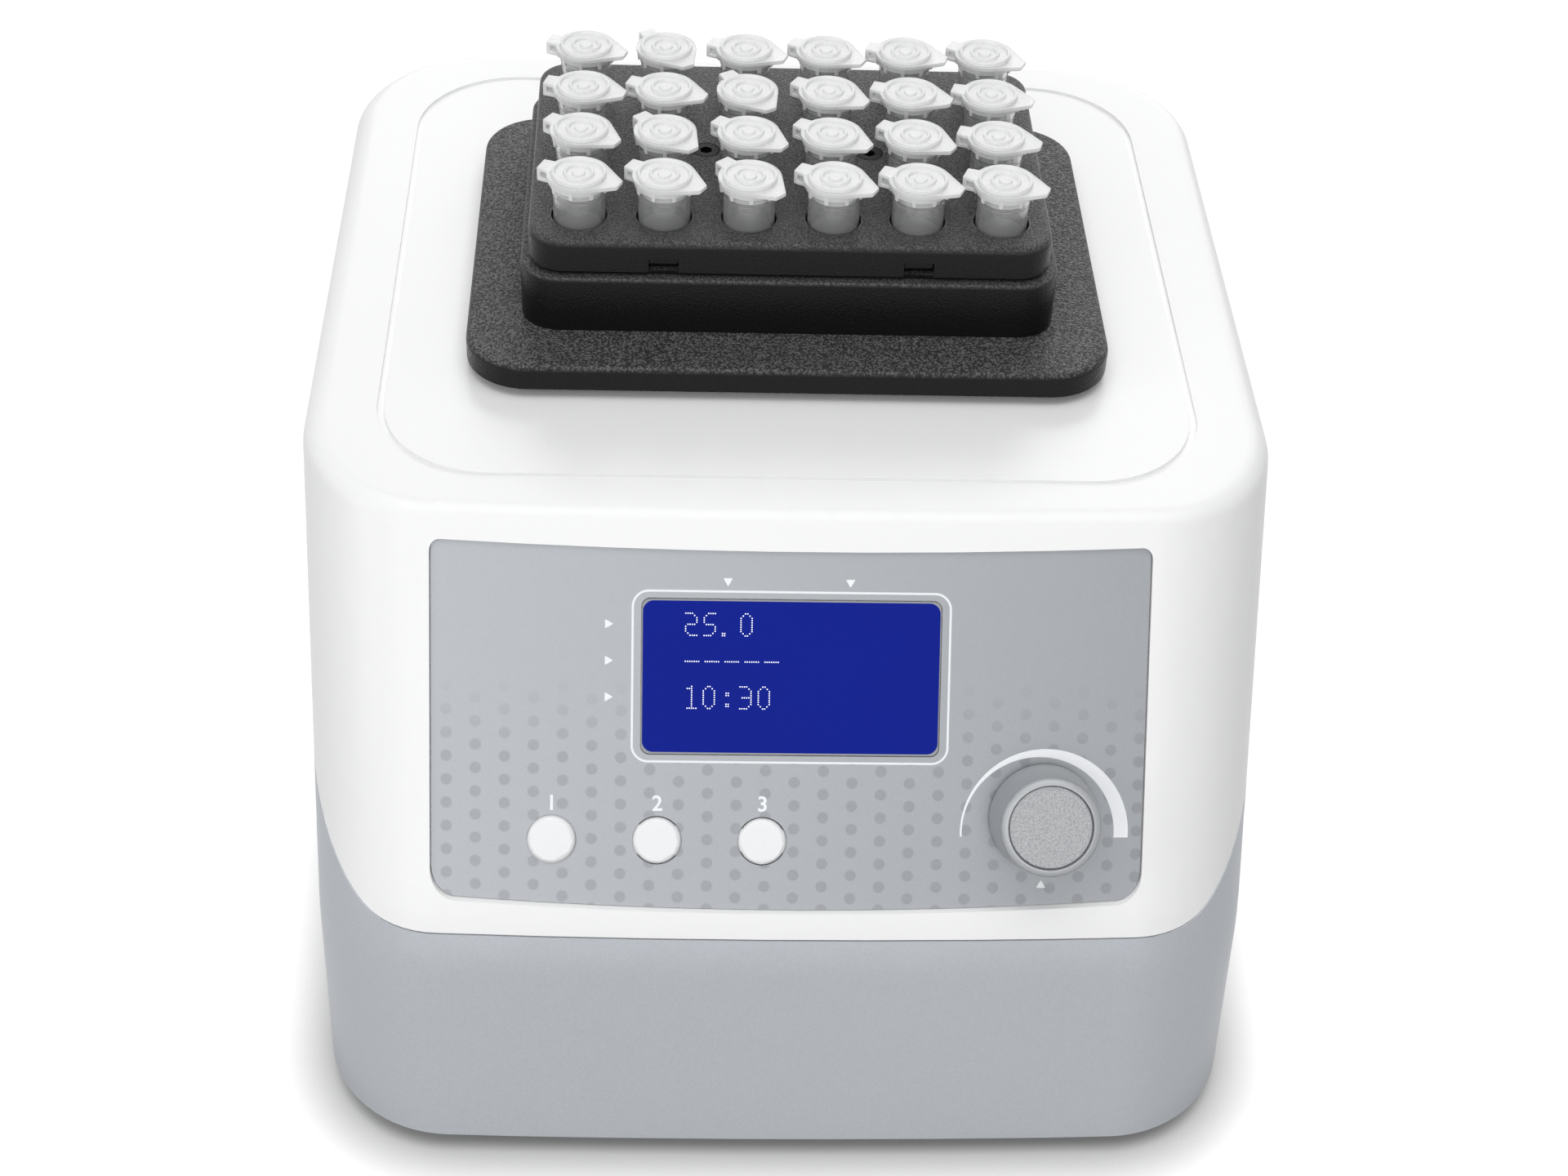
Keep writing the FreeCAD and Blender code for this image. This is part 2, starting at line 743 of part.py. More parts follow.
def build_case():
    """Upper and lower housings, cut from one form along the seam."""
    outer = case_form("case_outer", "0")
    shell = cut("case_shell", outer, case_form("case_inner", "dims.wall"))

    posts = rods_at("post", POST_PLACES, "dims.post_radius", POST_BOTTOM, "dims.case_height")
    post_places = four_places("dims.board_post_x", "-dims.board_post_up", "dims.board_post_up")
    for index, (x, up) in enumerate(post_places):
        post = rod(f"board_post_{index}", "dims.board_post_radius", "dims.board_setback")
        posts.append(to_panel(post, x, up, BOARD_FACE))
    trimmed = common("posts_trimmed", [outer, fuse("posts", posts)])
    upper_shell = common("upper_shell", [shell, seam_region("above_seam", "0")])

    opening = slab(
        "block_opening",
        "(dims.plate_width - 2 * dims.seal_gauge - 2 * dims.seal_margin)",
        "(dims.plate_depth - 2 * dims.seal_gauge - 2 * dims.seal_margin)",
        "2 * dims.wall",
        "dims.skirt_round")
    at_plate(opening, f"({CASE_TOP} - 1.5 * dims.wall)")
    groove_outer = slab(
        "groove_outer", "dims.groove_width", "dims.groove_depth", "2 * dims.groove_sink",
        "dims.groove_round")
    groove_inner = slab(
        "groove_inner",
        "(dims.groove_width - 2 * dims.groove_line)",
        "(dims.groove_depth - 2 * dims.groove_line)",
        "2 * dims.groove_sink",
        "(dims.groove_round - dims.groove_line)")
    for ring in (groove_outer, groove_inner):
        at_block(ring, f"({CASE_TOP} - dims.groove_sink)")
    recess_edge = panel_outline("recess_outline", "dims.fit_gap")
    recess = cut("panel_recess", recess_edge, front_layer("recess_floor", RECESS))
    view = window_outline("view_hole", "(-dims.window_ledge)")
    bites = rods_at("post_bite", POST_PLACES, "(dims.screw_radius + dims.hole_gap)", POST_BOTTOM,
                    "(dims.screw_bite + dims.hole_gap)")
    tools = [opening, cut("groove_ring", groove_outer, groove_inner), recess, view]
    tools += panel_holes("case_hole", "dims.fit_gap") + bites
    upper = cut("upper_case", fuse("upper_solid", [upper_shell, trimmed]), fuse("upper_tools", tools))

    lower_shell = cut("lower_shell", shell, seam_region("above_parting", "dims.parting_gap"))
    bosses = rods_at("boss", POST_PLACES, "dims.boss_radius", CASE_BOTTOM, "dims.boss_height")
    bosses += rods_at("supply_boss", SUPPLY_PLACES, "dims.post_radius", CASE_BOTTOM,
                      "(dims.wall + dims.supply_lift)")
    head_room = "(dims.head_radius + dims.hole_gap)"
    tools = rods_at("boss_head", POST_PLACES, head_room, "0", f"({CASE_BOTTOM} + dims.head_seat)")
    tools += rods_at("boss_hole", POST_PLACES, "(dims.screw_radius + dims.hole_gap)", "0", POST_BOTTOM)
    inlet = block_box(
        "inlet_hole",
        "(dims.flange_width - 2 * dims.flange_lip)",
        "(dims.flange_height - 2 * dims.flange_lip)",
        "2 * dims.wall")
    to_rear(inlet, "(dims.inlet_x - dims.flange_width / 2 + dims.flange_lip)",
            "(dims.inlet_z + dims.flange_height / 2 - dims.flange_lip)", "-1.5 * dims.wall")
    tools.append(inlet)
    for index in range(VENTS):
        vent = block_box(f"rear_vent_{index}", "dims.vent_width", "3 * dims.wall", "dims.vent_height")
        tools.append(place(vent, f"(dims.vent_x + {index} * dims.vent_pitch)",
                           f"({REAR} - 1.5 * dims.wall)", "(dims.inlet_z - dims.vent_height / 2)"))
        vent = block_box(f"floor_vent_{index}", "dims.vent_width", "dims.vent_height", "3 * dims.wall")
        tools.append(place(vent, f"(({index} - {VENTS - 1} / 2) * dims.vent_pitch - dims.vent_width / 2)",
                           f"({BLOCK_Y} - dims.bracket_depth / 2 - 2 * dims.vent_height)", "-dims.wall"))
    lower = cut("lower_case", fuse("lower_solid", [lower_shell] + bosses), fuse("lower_tools", tools))
    return [upper, lower]


def build_fasteners():
    """Case screws driven up into the posts, and the feet under the corners."""
    shank_top = f"({POST_BOTTOM} + dims.screw_bite)"
    seat = f"({CASE_BOTTOM} + dims.head_seat)"
    screws = []
    for index, (x, y) in enumerate(POST_PLACES):
        screw = turned(f"case_screw_{index}", [
            ("0", "(-dims.head_height)"),
            ("dims.head_radius", "(-dims.head_height)"),
            ("dims.head_radius", "0"),
            ("dims.screw_radius", "0"),
            ("dims.screw_radius", f"({shank_top} - {seat})"),
            ("0", f"({shank_top} - {seat})"),
        ])
        screws.append(place(screw, x, y, seat))
    feet = []
    for index, (x, y) in enumerate(FOOT_PLACES):
        foot = turned(f"rubber_foot_{index}", [
            ("0", "0"),
            ("(dims.foot_radius - dims.foot_height / 3)", "0"),
            ("dims.foot_radius", "(dims.foot_height / 2)"),
            ("dims.foot_radius", "dims.foot_height"),
            ("0", "dims.foot_height"),
        ])
        feet.append(place(foot, x, y, "0"))
    return [compound("case_screws", screws), compound("rubber_feet", feet)]


def compound(label, pieces):
    """Several separate solids that share one node."""
    feature = doc.addObject("Part::Compound", label)
    feature.Label = label
    feature.Links = pieces
    return feature


def build_block():
    """Plate, seal, skirt, cover and heat block, with the screws that hold the block down."""
    plate_body = slab("plate_body", "dims.plate_width", "dims.plate_depth", "dims.plate_thickness",
                      "dims.plate_round", "dims.plate_edge")
    at_plate(plate_body, PLATE_BOTTOM)
    inner_width = "(dims.skirt_width - 2 * dims.skirt_wall)"
    inner_depth = "(dims.skirt_depth - 2 * dims.skirt_wall)"
    inner_round = "(dims.skirt_round - dims.skirt_wall)"
    through = slab("block_way", inner_width, inner_depth,
                   "(2 * dims.plate_thickness + 2 * dims.skirt_height)", inner_round)
    at_block(through, f"({PLATE_BOTTOM} - dims.plate_thickness)")
    plate = cut("block_plate", plate_body, through)

    seal_width = "(dims.plate_width - 2 * dims.seal_margin)"
    seal_depth = "(dims.plate_depth - 2 * dims.seal_margin)"
    seal_outer = slab("seal_outer", seal_width, seal_depth, "dims.seal_height", "dims.plate_round")
    seal_inner = slab("seal_inner", f"({seal_width} - 2 * dims.seal_gauge)",
                      f"({seal_depth} - 2 * dims.seal_gauge)",
                      "3 * dims.seal_height", "(dims.plate_round - dims.seal_gauge)")
    at_plate(seal_outer, CASE_TOP)
    at_plate(seal_inner, f"({CASE_TOP} - dims.seal_height)")
    seal = cut("plate_seal", seal_outer, seal_inner)

    skirt_body = slab("skirt_body", "dims.skirt_width", "dims.skirt_depth", "dims.skirt_height",
                      "dims.skirt_round", "dims.skirt_edge")
    at_block(skirt_body, PLATE_TOP)
    lugs = []
    windows = []
    cover_inner_y = f"({COVER_DEPTH} / 2 - dims.cover_wall)"
    lug_width = "(dims.snap_width - 2 * dims.fit_gap)"
    sill = f"({SKIRT_TOP} + dims.shadow_height)"
    for side in (-1, 1):
        for end in (-1, 1):
            tag = f"{(side + 1) // 2}{(end + 1) // 2}"
            x = f"({end} * dims.snap_x - dims.snap_width / 2 + dims.fit_gap)"
            lug = block_box(f"snap_lug_{tag}", lug_width, "dims.snap_gauge",
                            f"({sill} + dims.snap_height - {PLATE_TOP} - dims.fit_gap)")
            lug_from = f"({cover_inner_y} - dims.fit_gap - dims.snap_gauge / 2)"
            inner = f"({BLOCK_Y} + {side} * {lug_from} - dims.snap_gauge / 2)"
            lugs.append(place(lug, x, inner, PLATE_TOP))
            root = block_box(f"snap_root_{tag}", lug_width, "dims.skirt_wall", "(dims.skirt_height / 2)")
            root_from = f"({cover_inner_y} + dims.skirt_wall / 2 - dims.snap_gauge)"
            wall_y = f"({BLOCK_Y} + {side} * {root_from} - dims.skirt_wall / 2)"
            lugs.append(place(root, x, wall_y, PLATE_TOP))
            hook_depth = "(dims.snap_gauge + dims.fit_gap + dims.cover_wall / 2)"
            hook = block_box(f"snap_hook_{tag}", lug_width, hook_depth, "(dims.snap_height / 2)")
            hook_from = f"({cover_inner_y} + dims.cover_wall / 2 - {hook_depth} / 2)"
            outer = f"({BLOCK_Y} + {side} * {hook_from} - {hook_depth} / 2)"
            lugs.append(place(hook, x, outer, f"({sill} + dims.snap_height / 2 - dims.fit_gap)"))
            window = block_box(f"snap_window_{tag}", "dims.snap_width", "3 * dims.cover_wall",
                               "dims.snap_height")
            windows.append(place(
                window, f"({end} * dims.snap_x - dims.snap_width / 2)",
                f"({BLOCK_Y} + {side} * {COVER_DEPTH} / 2 - 1.5 * dims.cover_wall)", sill))
    skirt = fuse("block_skirt", [cut("skirt_ring", skirt_body, through)] + lugs)

    cover_main = slab("cover_main", COVER_WIDTH, COVER_DEPTH,
                      "(dims.cover_height - dims.shadow_height)", "dims.cover_round", "dims.cover_edge")
    at_block(cover_main, f"({SKIRT_TOP} + dims.shadow_height)")
    cover_foot = slab("cover_foot", f"({COVER_WIDTH} - 2 * dims.shadow_sink)",
                      f"({COVER_DEPTH} - 2 * dims.shadow_sink)", "2 * dims.shadow_height",
                      "(dims.cover_round - dims.shadow_sink)")
    at_block(cover_foot, SKIRT_TOP)
    cover_inside = slab("cover_inside", f"({COVER_WIDTH} - 2 * dims.cover_wall)",
                        f"({COVER_DEPTH} - 2 * dims.cover_wall)",
                        "(2 * dims.cover_height - dims.cover_top)", "(dims.cover_round - dims.cover_wall)")
    at_block(cover_inside, f"({SKIRT_TOP} - dims.cover_height)")
    head_floor = f"({RACK_TOP} - dims.block_head_height)"
    holes = [cover_inside, block_rods("cover_holes", "(dims.tube_radius + dims.cover_hole_gap)",
                                      f"({RACK_TOP} - 2 * dims.cover_top)", "3 * dims.cover_top")]
    holes += block_screw_rods("cover_head", "(dims.block_head_radius + dims.hole_gap)", head_floor,
                              "dims.cover_top")
    shank_hole = "(dims.block_screw_radius + dims.hole_gap)"
    holes += block_screw_rods("cover_screw", shank_hole, BLOCK_TOP, "dims.cover_top")
    cover = cut("block_cover", fuse("cover_solid", [cover_main, cover_foot]),
                fuse("cover_tools", holes + windows))

    block_body = slab("block_body", "dims.block_width", "dims.block_depth", "dims.block_height",
                      "dims.block_screw_radius")
    at_block(block_body, BLOCK_BOTTOM)
    wells = [block_rods("wells", WELL_RADIUS, WELL_BOTTOM, "dims.block_height")]
    wells += block_screw_rods("block_screw_hole", shank_hole, f"({BLOCK_BOTTOM} - 1)",
                              "2 * dims.block_height")
    block = cut("heat_block", block_body, fuse("block_tools", wells))

    shank_end = f"({BLOCK_BOTTOM} - dims.heater_thickness / 2)"
    screws = []
    for index, side in enumerate((-1, 1)):
        screw = turned(f"block_screw_{index}", [
            ("0", "0"),
            ("dims.block_head_radius", "0"),
            ("dims.block_head_radius", "dims.block_head_height"),
            ("0", "dims.block_head_height"),
        ])
        place(screw, f"({side} * dims.tube_pitch)", BLOCK_Y, head_floor)
        shank = rod(f"block_shank_{index}", "dims.block_screw_radius", f"({head_floor} - {shank_end})")
        place(shank, f"({side} * dims.tube_pitch)", BLOCK_Y, shank_end)
        screws.append(fuse(f"block_screw_whole_{index}", [screw, shank]))
    return [plate, seal, skirt, cover, block, compound("block_screws", screws)]


def build_heater():
    """Heated plate, its element, insulation and sensors, on a bent sheet bracket."""
    heater_body = slab("heater_body", "dims.heater_length", "dims.heater_depth", "dims.heater_thickness",
                       "dims.probe_radius")
    at_block(heater_body, HEATER_BOTTOM)
    probe_z = f"({HEATER_BOTTOM} + dims.heater_thickness / 2)"
    probe_end = "(-dims.heater_length / 2)"
    probe_hole = rod("probe_hole", "(dims.probe_radius + dims.shaft_gap)", "(2 * dims.probe_length + 1)")
    place(probe_hole, f"({probe_end} - dims.probe_length)", BLOCK_Y, probe_z, Vector(0, 1, 0), "90")
    screw_holes = block_screw_rods("heater_screw", "(dims.block_screw_radius + dims.hole_gap)", probe_z,
                                   "dims.heater_thickness")
    heater = cut("heater_plate", heater_body, fuse("heater_tools", [probe_hole] + screw_holes))

    mat = slab("heater_mat", "dims.mat_width", "dims.mat_depth", "dims.mat_thickness", "dims.probe_radius")
    at_block(mat, MAT_BOTTOM)
    insulation = slab("insulation", INSULATION_WIDTH, INSULATION_DEPTH, "dims.insulation_height",
                      "dims.insulation_margin")
    at_block(insulation, SHELF_TOP)

    bracket = new_body("heater_bracket")
    sketch = new_sketch(bracket, "XZ_Plane", f"-({BLOCK_Y} + dims.bracket_depth / 2)")
    half = f"({INSULATION_WIDTH} / 2)"
    gauge = "dims.bracket_gauge"
    toe = f"({half} + dims.bracket_flange)"
    outline(sketch, [
        (f"-{toe}", FLOOR),
        (f"(-{half} + {gauge})", FLOOR),
        (f"(-{half} + {gauge})", f"({SHELF_TOP} - {gauge})"),
        (f"({half} - {gauge})", f"({SHELF_TOP} - {gauge})"),
        (f"({half} - {gauge})", FLOOR),
        (toe, FLOOR),
        (toe, f"({FLOOR} + {gauge})"),
        (half, f"({FLOOR} + {gauge})"),
        (half, SHELF_TOP),
        (f"-{half}", SHELF_TOP),
        (f"-{half}", f"({FLOOR} + {gauge})"),
        (f"-{toe}", f"({FLOOR} + {gauge})"),
    ])
    pad(bracket, sketch, "dims.bracket_depth")

    probe = turned("temperature_probe", [
        ("0", "(-dims.probe_head)"),
        ("(2 * dims.probe_radius)", "(-dims.probe_head)"),
        ("(2 * dims.probe_radius)", "0"),
        ("dims.probe_radius", "0"),
        ("dims.probe_radius", "dims.probe_length"),
        ("0", "dims.probe_length"),
    ])
    place(probe, probe_end, BLOCK_Y, probe_z, Vector(0, 1, 0), "90")

    cutout_x = "((dims.heater_length + dims.block_width) / 4)"
    cutout = turned("cutout_can", [
        ("0", "0"),
        ("dims.cutout_radius", "0"),
        ("dims.cutout_radius", "(dims.cutout_height / 3)"),
        ("(dims.cutout_radius - 1)", "(dims.cutout_height / 3)"),
        ("(dims.cutout_radius - 1)", "dims.cutout_height"),
        ("0", "dims.cutout_height"),
    ])
    place(cutout, cutout_x, BLOCK_Y, BLOCK_BOTTOM)
    blades = []
    for side in (-1, 1):
        blade = block_box(f"cutout_blade_{side + 1}", "(dims.cutout_radius / 2)",
                          "(2 * dims.cutout_radius)", "0.8")
        blades.append(place(blade, f"({cutout_x} - dims.cutout_radius / 4)",
                            f"({BLOCK_Y} + ({side} - 1) * dims.cutout_radius)",
                            f"({BLOCK_BOTTOM} + dims.cutout_height * 0.6)"))
    thermal_cutout = fuse("thermal_cutout", [cutout] + blades)
    return [heater, mat, insulation, bracket, probe, thermal_cutout]


def build_panel():
    """Front overlay and display window, which follow the bow of the front."""
    layer = cut("panel_layer", front_layer("panel_face", "dims.panel_sink"),
                front_layer("panel_back", RECESS))
    panel_solid = common("panel_solid", [panel_outline("panel_prism", "0"), layer])
    openings = [window_outline("panel_window", "dims.fit_gap")] + panel_holes("panel_hole", "dims.fit_gap")
    panel = cut("control_panel", panel_solid, fuse("panel_tools", openings))
    window = common("display_window", [window_outline("window_prism", "0"), layer])
    return [panel, window]


def build_controls():
    """Buttons, encoder and knob, with the display module and the board that carries them."""
    module = slab("display_module", "dims.module_width", "dims.module_height", "dims.module_thickness",
                  "dims.window_round", "dims.window_round / 2")
    to_panel(module, up="dims.window_up", out=BOARD_FACE)

    pieces = [to_panel(
        slab("board_plate", "dims.board_width", "dims.board_height", "dims.board_thickness",
             "dims.window_round"),
        out=f"({BOARD_FACE} - dims.board_thickness)")]
    key_top = f"({BOARD_FACE} + dims.key_height + dims.key_stem_height)"
    buttons = []
    for index, name in enumerate(BUTTONS):
        x = button_x(index)
        key = slab(f"key_{name}", "dims.key_size", "dims.key_size", "dims.key_height", "dims.button_edge")
        stem = rod(f"key_stem_{name}", "dims.key_stem_radius", "(dims.key_height + dims.key_stem_height)")
        for piece in (key, stem):
            pieces.append(to_panel(piece, x, "dims.button_up", BOARD_FACE))
        buttons.append(build_button(name, x, key_top))
    board = fuse("control_board", pieces)
    return [module, board] + buttons + build_encoder()


def build_button(name, x, key_top):
    """Push button: a cap through the panel, a flange behind the wall and a stem over its key."""
    sag = bulge_sag(x)
    rim = "(dims.button_radius + dims.button_flange)"
    flange_sag = bulge_sag(f"(abs({x}) + {rim})")
    top = f"(dims.button_proud - dims.panel_sink - {sag})"
    flange_top = f"(-dims.wall - dims.fit_gap - {flange_sag})"
    flange_bottom = f"({flange_top} - dims.button_flange_height)"
    stem_end = f"({key_top} + dims.button_travel + dims.fit_gap / 2)"
    button = turned(name, [
        ("0", stem_end),
        ("dims.key_stem_radius", stem_end),
        ("dims.key_stem_radius", flange_bottom),
        (rim, flange_bottom),
        (rim, flange_top),
        ("dims.button_radius", flange_top),
        ("dims.button_radius", f"({top} - dims.button_edge)"),
        ("(dims.button_radius - dims.button_edge)", top),
        ("0", top),
    ])
    return to_panel(button, x, "dims.button_up")


def build_encoder():
    """Push encoder: body and nut on the panel, shaft and knob that turn, plunger that is pushed."""
    panel_face = f"(-dims.panel_sink - {bulge_sag('dims.knob_x')})"
    nut_reach = "(dims.nut_size / 2 / cos(30))"
    nut_bottom = f"(-dims.panel_sink - {bulge_sag(f'(dims.knob_x - {nut_reach})')})"
    nut_top = f"({nut_bottom} + dims.nut_height)"
    bushing_top = f"({nut_top} + dims.bushing_radius / 5)"
    knob_bottom = f"({panel_face} + dims.knob_gap)"
    shaft_bottom = f"({ENCODER_TOP} - dims.encoder_height / 2)"
    plunger_bottom = f"({shaft_bottom} - dims.shaft_gap - dims.plunger_height)"
    chamber_bottom = f"({plunger_bottom} - dims.push_travel - dims.fit_gap)"
    at = ("dims.knob_x", "dims.knob_up")

    can = slab("encoder_can", "dims.encoder_size", "dims.encoder_size", "dims.encoder_height",
               "dims.button_edge")
    to_panel(can, *at, BOARD_FACE)
    bushing = rod("encoder_bushing", "dims.bushing_radius", f"({bushing_top} - {ENCODER_TOP})")
    to_panel(bushing, *at, ENCODER_TOP)
    bore = to_panel(rod("encoder_bore", "(dims.shaft_radius + dims.shaft_gap)", LONG), *at, shaft_bottom)
    chamber = rod("encoder_chamber", "(dims.plunger_radius + dims.fit_gap)",
                  f"({shaft_bottom} - {chamber_bottom})")
    to_panel(chamber, *at, chamber_bottom)
    body = cut("encoder_body", fuse("encoder_solid", [can, bushing]),
               fuse("encoder_hollow", [bore, chamber]))

    hexagon = doc.addObject("Part::Prism", "nut_hexagon")
    hexagon.Polygon = 6
    bind(hexagon, Circumradius=nut_reach, Height="dims.nut_height")
    to_panel(hexagon, *at, nut_bottom)
    nut_hole = rod("nut_hole", "(dims.bushing_radius + dims.shaft_gap)", "3 * dims.nut_height")
    to_panel(nut_hole, *at, f"({nut_bottom} - dims.nut_height)")
    nut = cut("encoder_nut", hexagon, nut_hole)

    plunger = rod("push_plunger", "dims.plunger_radius", "dims.plunger_height")
    to_panel(plunger, *at, plunger_bottom)
    bore_top = "(dims.knob_height - dims.cap_sink - 2 * dims.cap_thickness)"
    shaft_top = f"({knob_bottom} + {bore_top} - dims.fit_gap)"
    shaft = rod("encoder_shaft", "dims.shaft_radius", f"({shaft_top} - {shaft_bottom})")
    to_panel(shaft, *at, shaft_bottom)
    cap_floor = "(dims.knob_height - dims.cap_sink - dims.cap_thickness)"
    shaft_fit = "(dims.shaft_radius + dims.shaft_gap)"
    cap_fit = "(dims.cap_radius + dims.shaft_gap)"
    knob = turned("knob", [
        ("dims.knob_hollow_radius", "0"),
        ("dims.knob_radius", "0"),
        ("dims.knob_radius", "dims.knob_bevel"),
        ("dims.knob_top_radius", "(dims.knob_height - dims.knob_bevel)"),
        ("(dims.knob_top_radius - dims.knob_bevel)", "dims.knob_height"),
        (cap_fit, "dims.knob_height"),
        (cap_fit, cap_floor),
        ("0", cap_floor),
        ("0", bore_top),
        (shaft_fit, bore_top),
        (shaft_fit, "dims.knob_hollow"),
        ("dims.knob_hollow_radius", "dims.knob_hollow"),
    ])
    to_panel(knob, *at, knob_bottom)
    cap = turned("knob_cap", [
        ("0", "0"),
        ("dims.cap_radius", "0"),
        ("dims.cap_radius", "(dims.cap_thickness * 0.7)"),
        ("(dims.cap_radius - dims.cap_thickness * 0.3)", "dims.cap_thickness"),
        ("0", "dims.cap_thickness"),
    ])
    to_panel(cap, *at, f"({knob_bottom} + {cap_floor})")
    return [body, nut, plunger, shaft, knob, cap]


def build_rear():
    """Mains inlet with its switch and fuse drawer, and the supply board on the floor."""
    flange = slab("inlet_flange", "dims.flange_width", "dims.flange_height", "dims.flange_thickness",
                  "dims.flange_lip", "dims.flange_thickness / 4")
    to_rear(flange, "dims.inlet_x", "dims.inlet_z")
    neck_width = "(dims.flange_width - 2 * dims.flange_lip - 2 * dims.fit_gap)"
    neck_height = "(dims.flange_height - 2 * dims.flange_lip - 2 * dims.fit_gap)"
    neck = slab("inlet_neck", neck_width, neck_height, "dims.inlet_body_depth")
    to_rear(neck, "dims.inlet_x", "dims.inlet_z", "-dims.inlet_body_depth")

    socket_x = "(dims.inlet_x + dims.socket_side)"
    socket_z = "(dims.inlet_z + dims.socket_up)"
    socket_floor = "(dims.flange_thickness - dims.socket_depth)"
    socket = new_body("socket_hollow")
    sketch = new_sketch(socket, "XY_Plane")
    half_width = "(dims.socket_width / 2)"
    half_height = "(dims.socket_height / 2)"
    outline(sketch, [
        (f"-{half_width}", half_height),
        (half_width, half_height),
        (half_width, f"(-{half_height} + dims.socket_corner)"),
        (f"({half_width} - dims.socket_corner)", f"-{half_height}"),
        (f"(-{half_width} + dims.socket_corner)", f"-{half_height}"),
        (f"-{half_width}", f"(-{half_height} + dims.socket_corner)"),
    ])
    pad(socket, sketch, "2 * dims.socket_depth")
    to_rear(socket, socket_x, socket_z, socket_floor)

    drawer_z = "(dims.inlet_z + dims.drawer_up)"
    slot = slab("drawer_slot", "(dims.drawer_width + 2 * dims.drawer_gap)",
                "(dims.drawer_height + 2 * dims.drawer_gap)", "2 * dims.drawer_depth")
    to_rear(slot, socket_x, drawer_z, "(dims.flange_thickness - dims.drawer_depth - dims.drawer_gap)")
    rocker_x = "(dims.inlet_x + dims.rocker_side)"
    rocker_well = slab("rocker_well", "(dims.rocker_width + 2 * dims.rocker_gap)",
                       "(dims.rocker_length + 2 * dims.rocker_gap)", "dims.inlet_body_depth")
    to_rear(rocker_well, rocker_x, "dims.inlet_z", "(-dims.rocker_length / 2)")
    inlet = cut("inlet_module", fuse("inlet_solid", [flange, neck]),
                fuse("inlet_tools", [socket, slot, rocker_well]))

    pins = []
    for index, (side, up) in enumerate(((-1, -0.3), (1, -0.3), (0, 0.3))):
        pin = slab(f"inlet_pin_{index}", "dims.pin_gauge", "dims.pin_width", "dims.pin_length",
                   None, "dims.pin_gauge / 4")
        pins.append(to_rear(pin, f"({socket_x} + {side} * dims.pin_spacing)",
                            f"({socket_z} + {up} * dims.pin_spacing)", socket_floor))
    drawer_body = slab("drawer_body", "dims.drawer_width", "dims.drawer_height", "dims.drawer_depth")
    to_rear(drawer_body, socket_x, drawer_z, "(dims.flange_thickness - dims.drawer_depth)")
    tray = slab("drawer_tray", "(2 * dims.fuse_radius + 2 * dims.drawer_gap)", "dims.drawer_height",
                "(dims.fuse_length + 2 * dims.drawer_gap)")
    fuse_floor = "(-dims.fuse_length - dims.flange_thickness / 2)"
    to_rear(tray, socket_x, f"({drawer_z} + dims.drawer_height / 4)", f"({fuse_floor} - dims.drawer_gap)")
    drawer = cut("fuse_drawer", drawer_body, tray)
    cartridge = rod("fuse", "dims.fuse_radius", "dims.fuse_length")
    fuse_z = f"({drawer_z} - dims.drawer_height / 4 + dims.fuse_radius + dims.drawer_gap / 2)"
    to_rear(cartridge, socket_x, fuse_z, fuse_floor)

    return [inlet, compound("inlet_pins", pins), drawer, cartridge, build_rocker(rocker_x), build_supply()]


def build_rocker(rocker_x):
    """Rocker of the mains switch, tipped to its off side; its axle line lies in the rear wall's face."""
    rocker = new_body("rocker_switch")
    sketch = new_sketch(rocker, "YZ_Plane", "-dims.rocker_width / 2")
    half = "(dims.rocker_length / 2)"
    crest = f"((dims.rear_proud - {half} * sin(dims.rocker_tilt)) / cos(dims.rocker_tilt))"
    outline(sketch, [
        (crest, f"-{half}"),
        (f"({crest} / 2)", "0"),
        (crest, half),
        ("0", f"({half} - dims.rocker_gap)"),
        (f"(-{half} / 2)", f"({half} / 3)"),
        (f"(-{half} / 2)", f"(-{half} / 3)"),
        ("0", f"(-{half} + dims.rocker_gap)"),
    ])
    pad(rocker, sketch, "dims.rocker_width")
    return place(rocker, rocker_x, REAR, "dims.inlet_z", angle="dims.rocker_tilt")


def build_supply():
    """Supply board on its bosses, with a transformer, a cooled switch and two capacitors."""
    board_bottom = f"({FLOOR} + dims.supply_lift)"
    board_top = f"({board_bottom} + dims.board_thickness)"
    plate = slab("supply_plate", "dims.supply_width", "dims.supply_depth", "dims.board_thickness",
                 "dims.window_round")
    at_block(plate, board_bottom)
    transformer = slab("supply_transformer", "(dims.supply_width / 3)", "(dims.supply_depth * 0.6)",
                       "(dims.supply_depth * 0.5)", "dims.window_round")
    place(transformer, "(-dims.supply_width / 4)", BLOCK_Y, board_top)
    sink = slab("supply_heat_sink", "dims.key_size", "(dims.supply_depth * 0.7)",
                "(dims.supply_depth * 0.4)")
    place(sink, "(dims.supply_width * 0.36)", BLOCK_Y, board_top)
    parts = [plate, transformer, sink]
    for side in (-1, 1):
        capacitor = rod(f"supply_capacitor_{side + 1}", "(dims.supply_depth * 0.14)",
                        "(dims.supply_depth * 0.42)")
        parts.append(place(capacitor, "(dims.supply_width * 0.14)",
                           f"({BLOCK_Y} + {side} * dims.supply_depth * 0.2)", board_top))
    return fuse("power_board", parts)


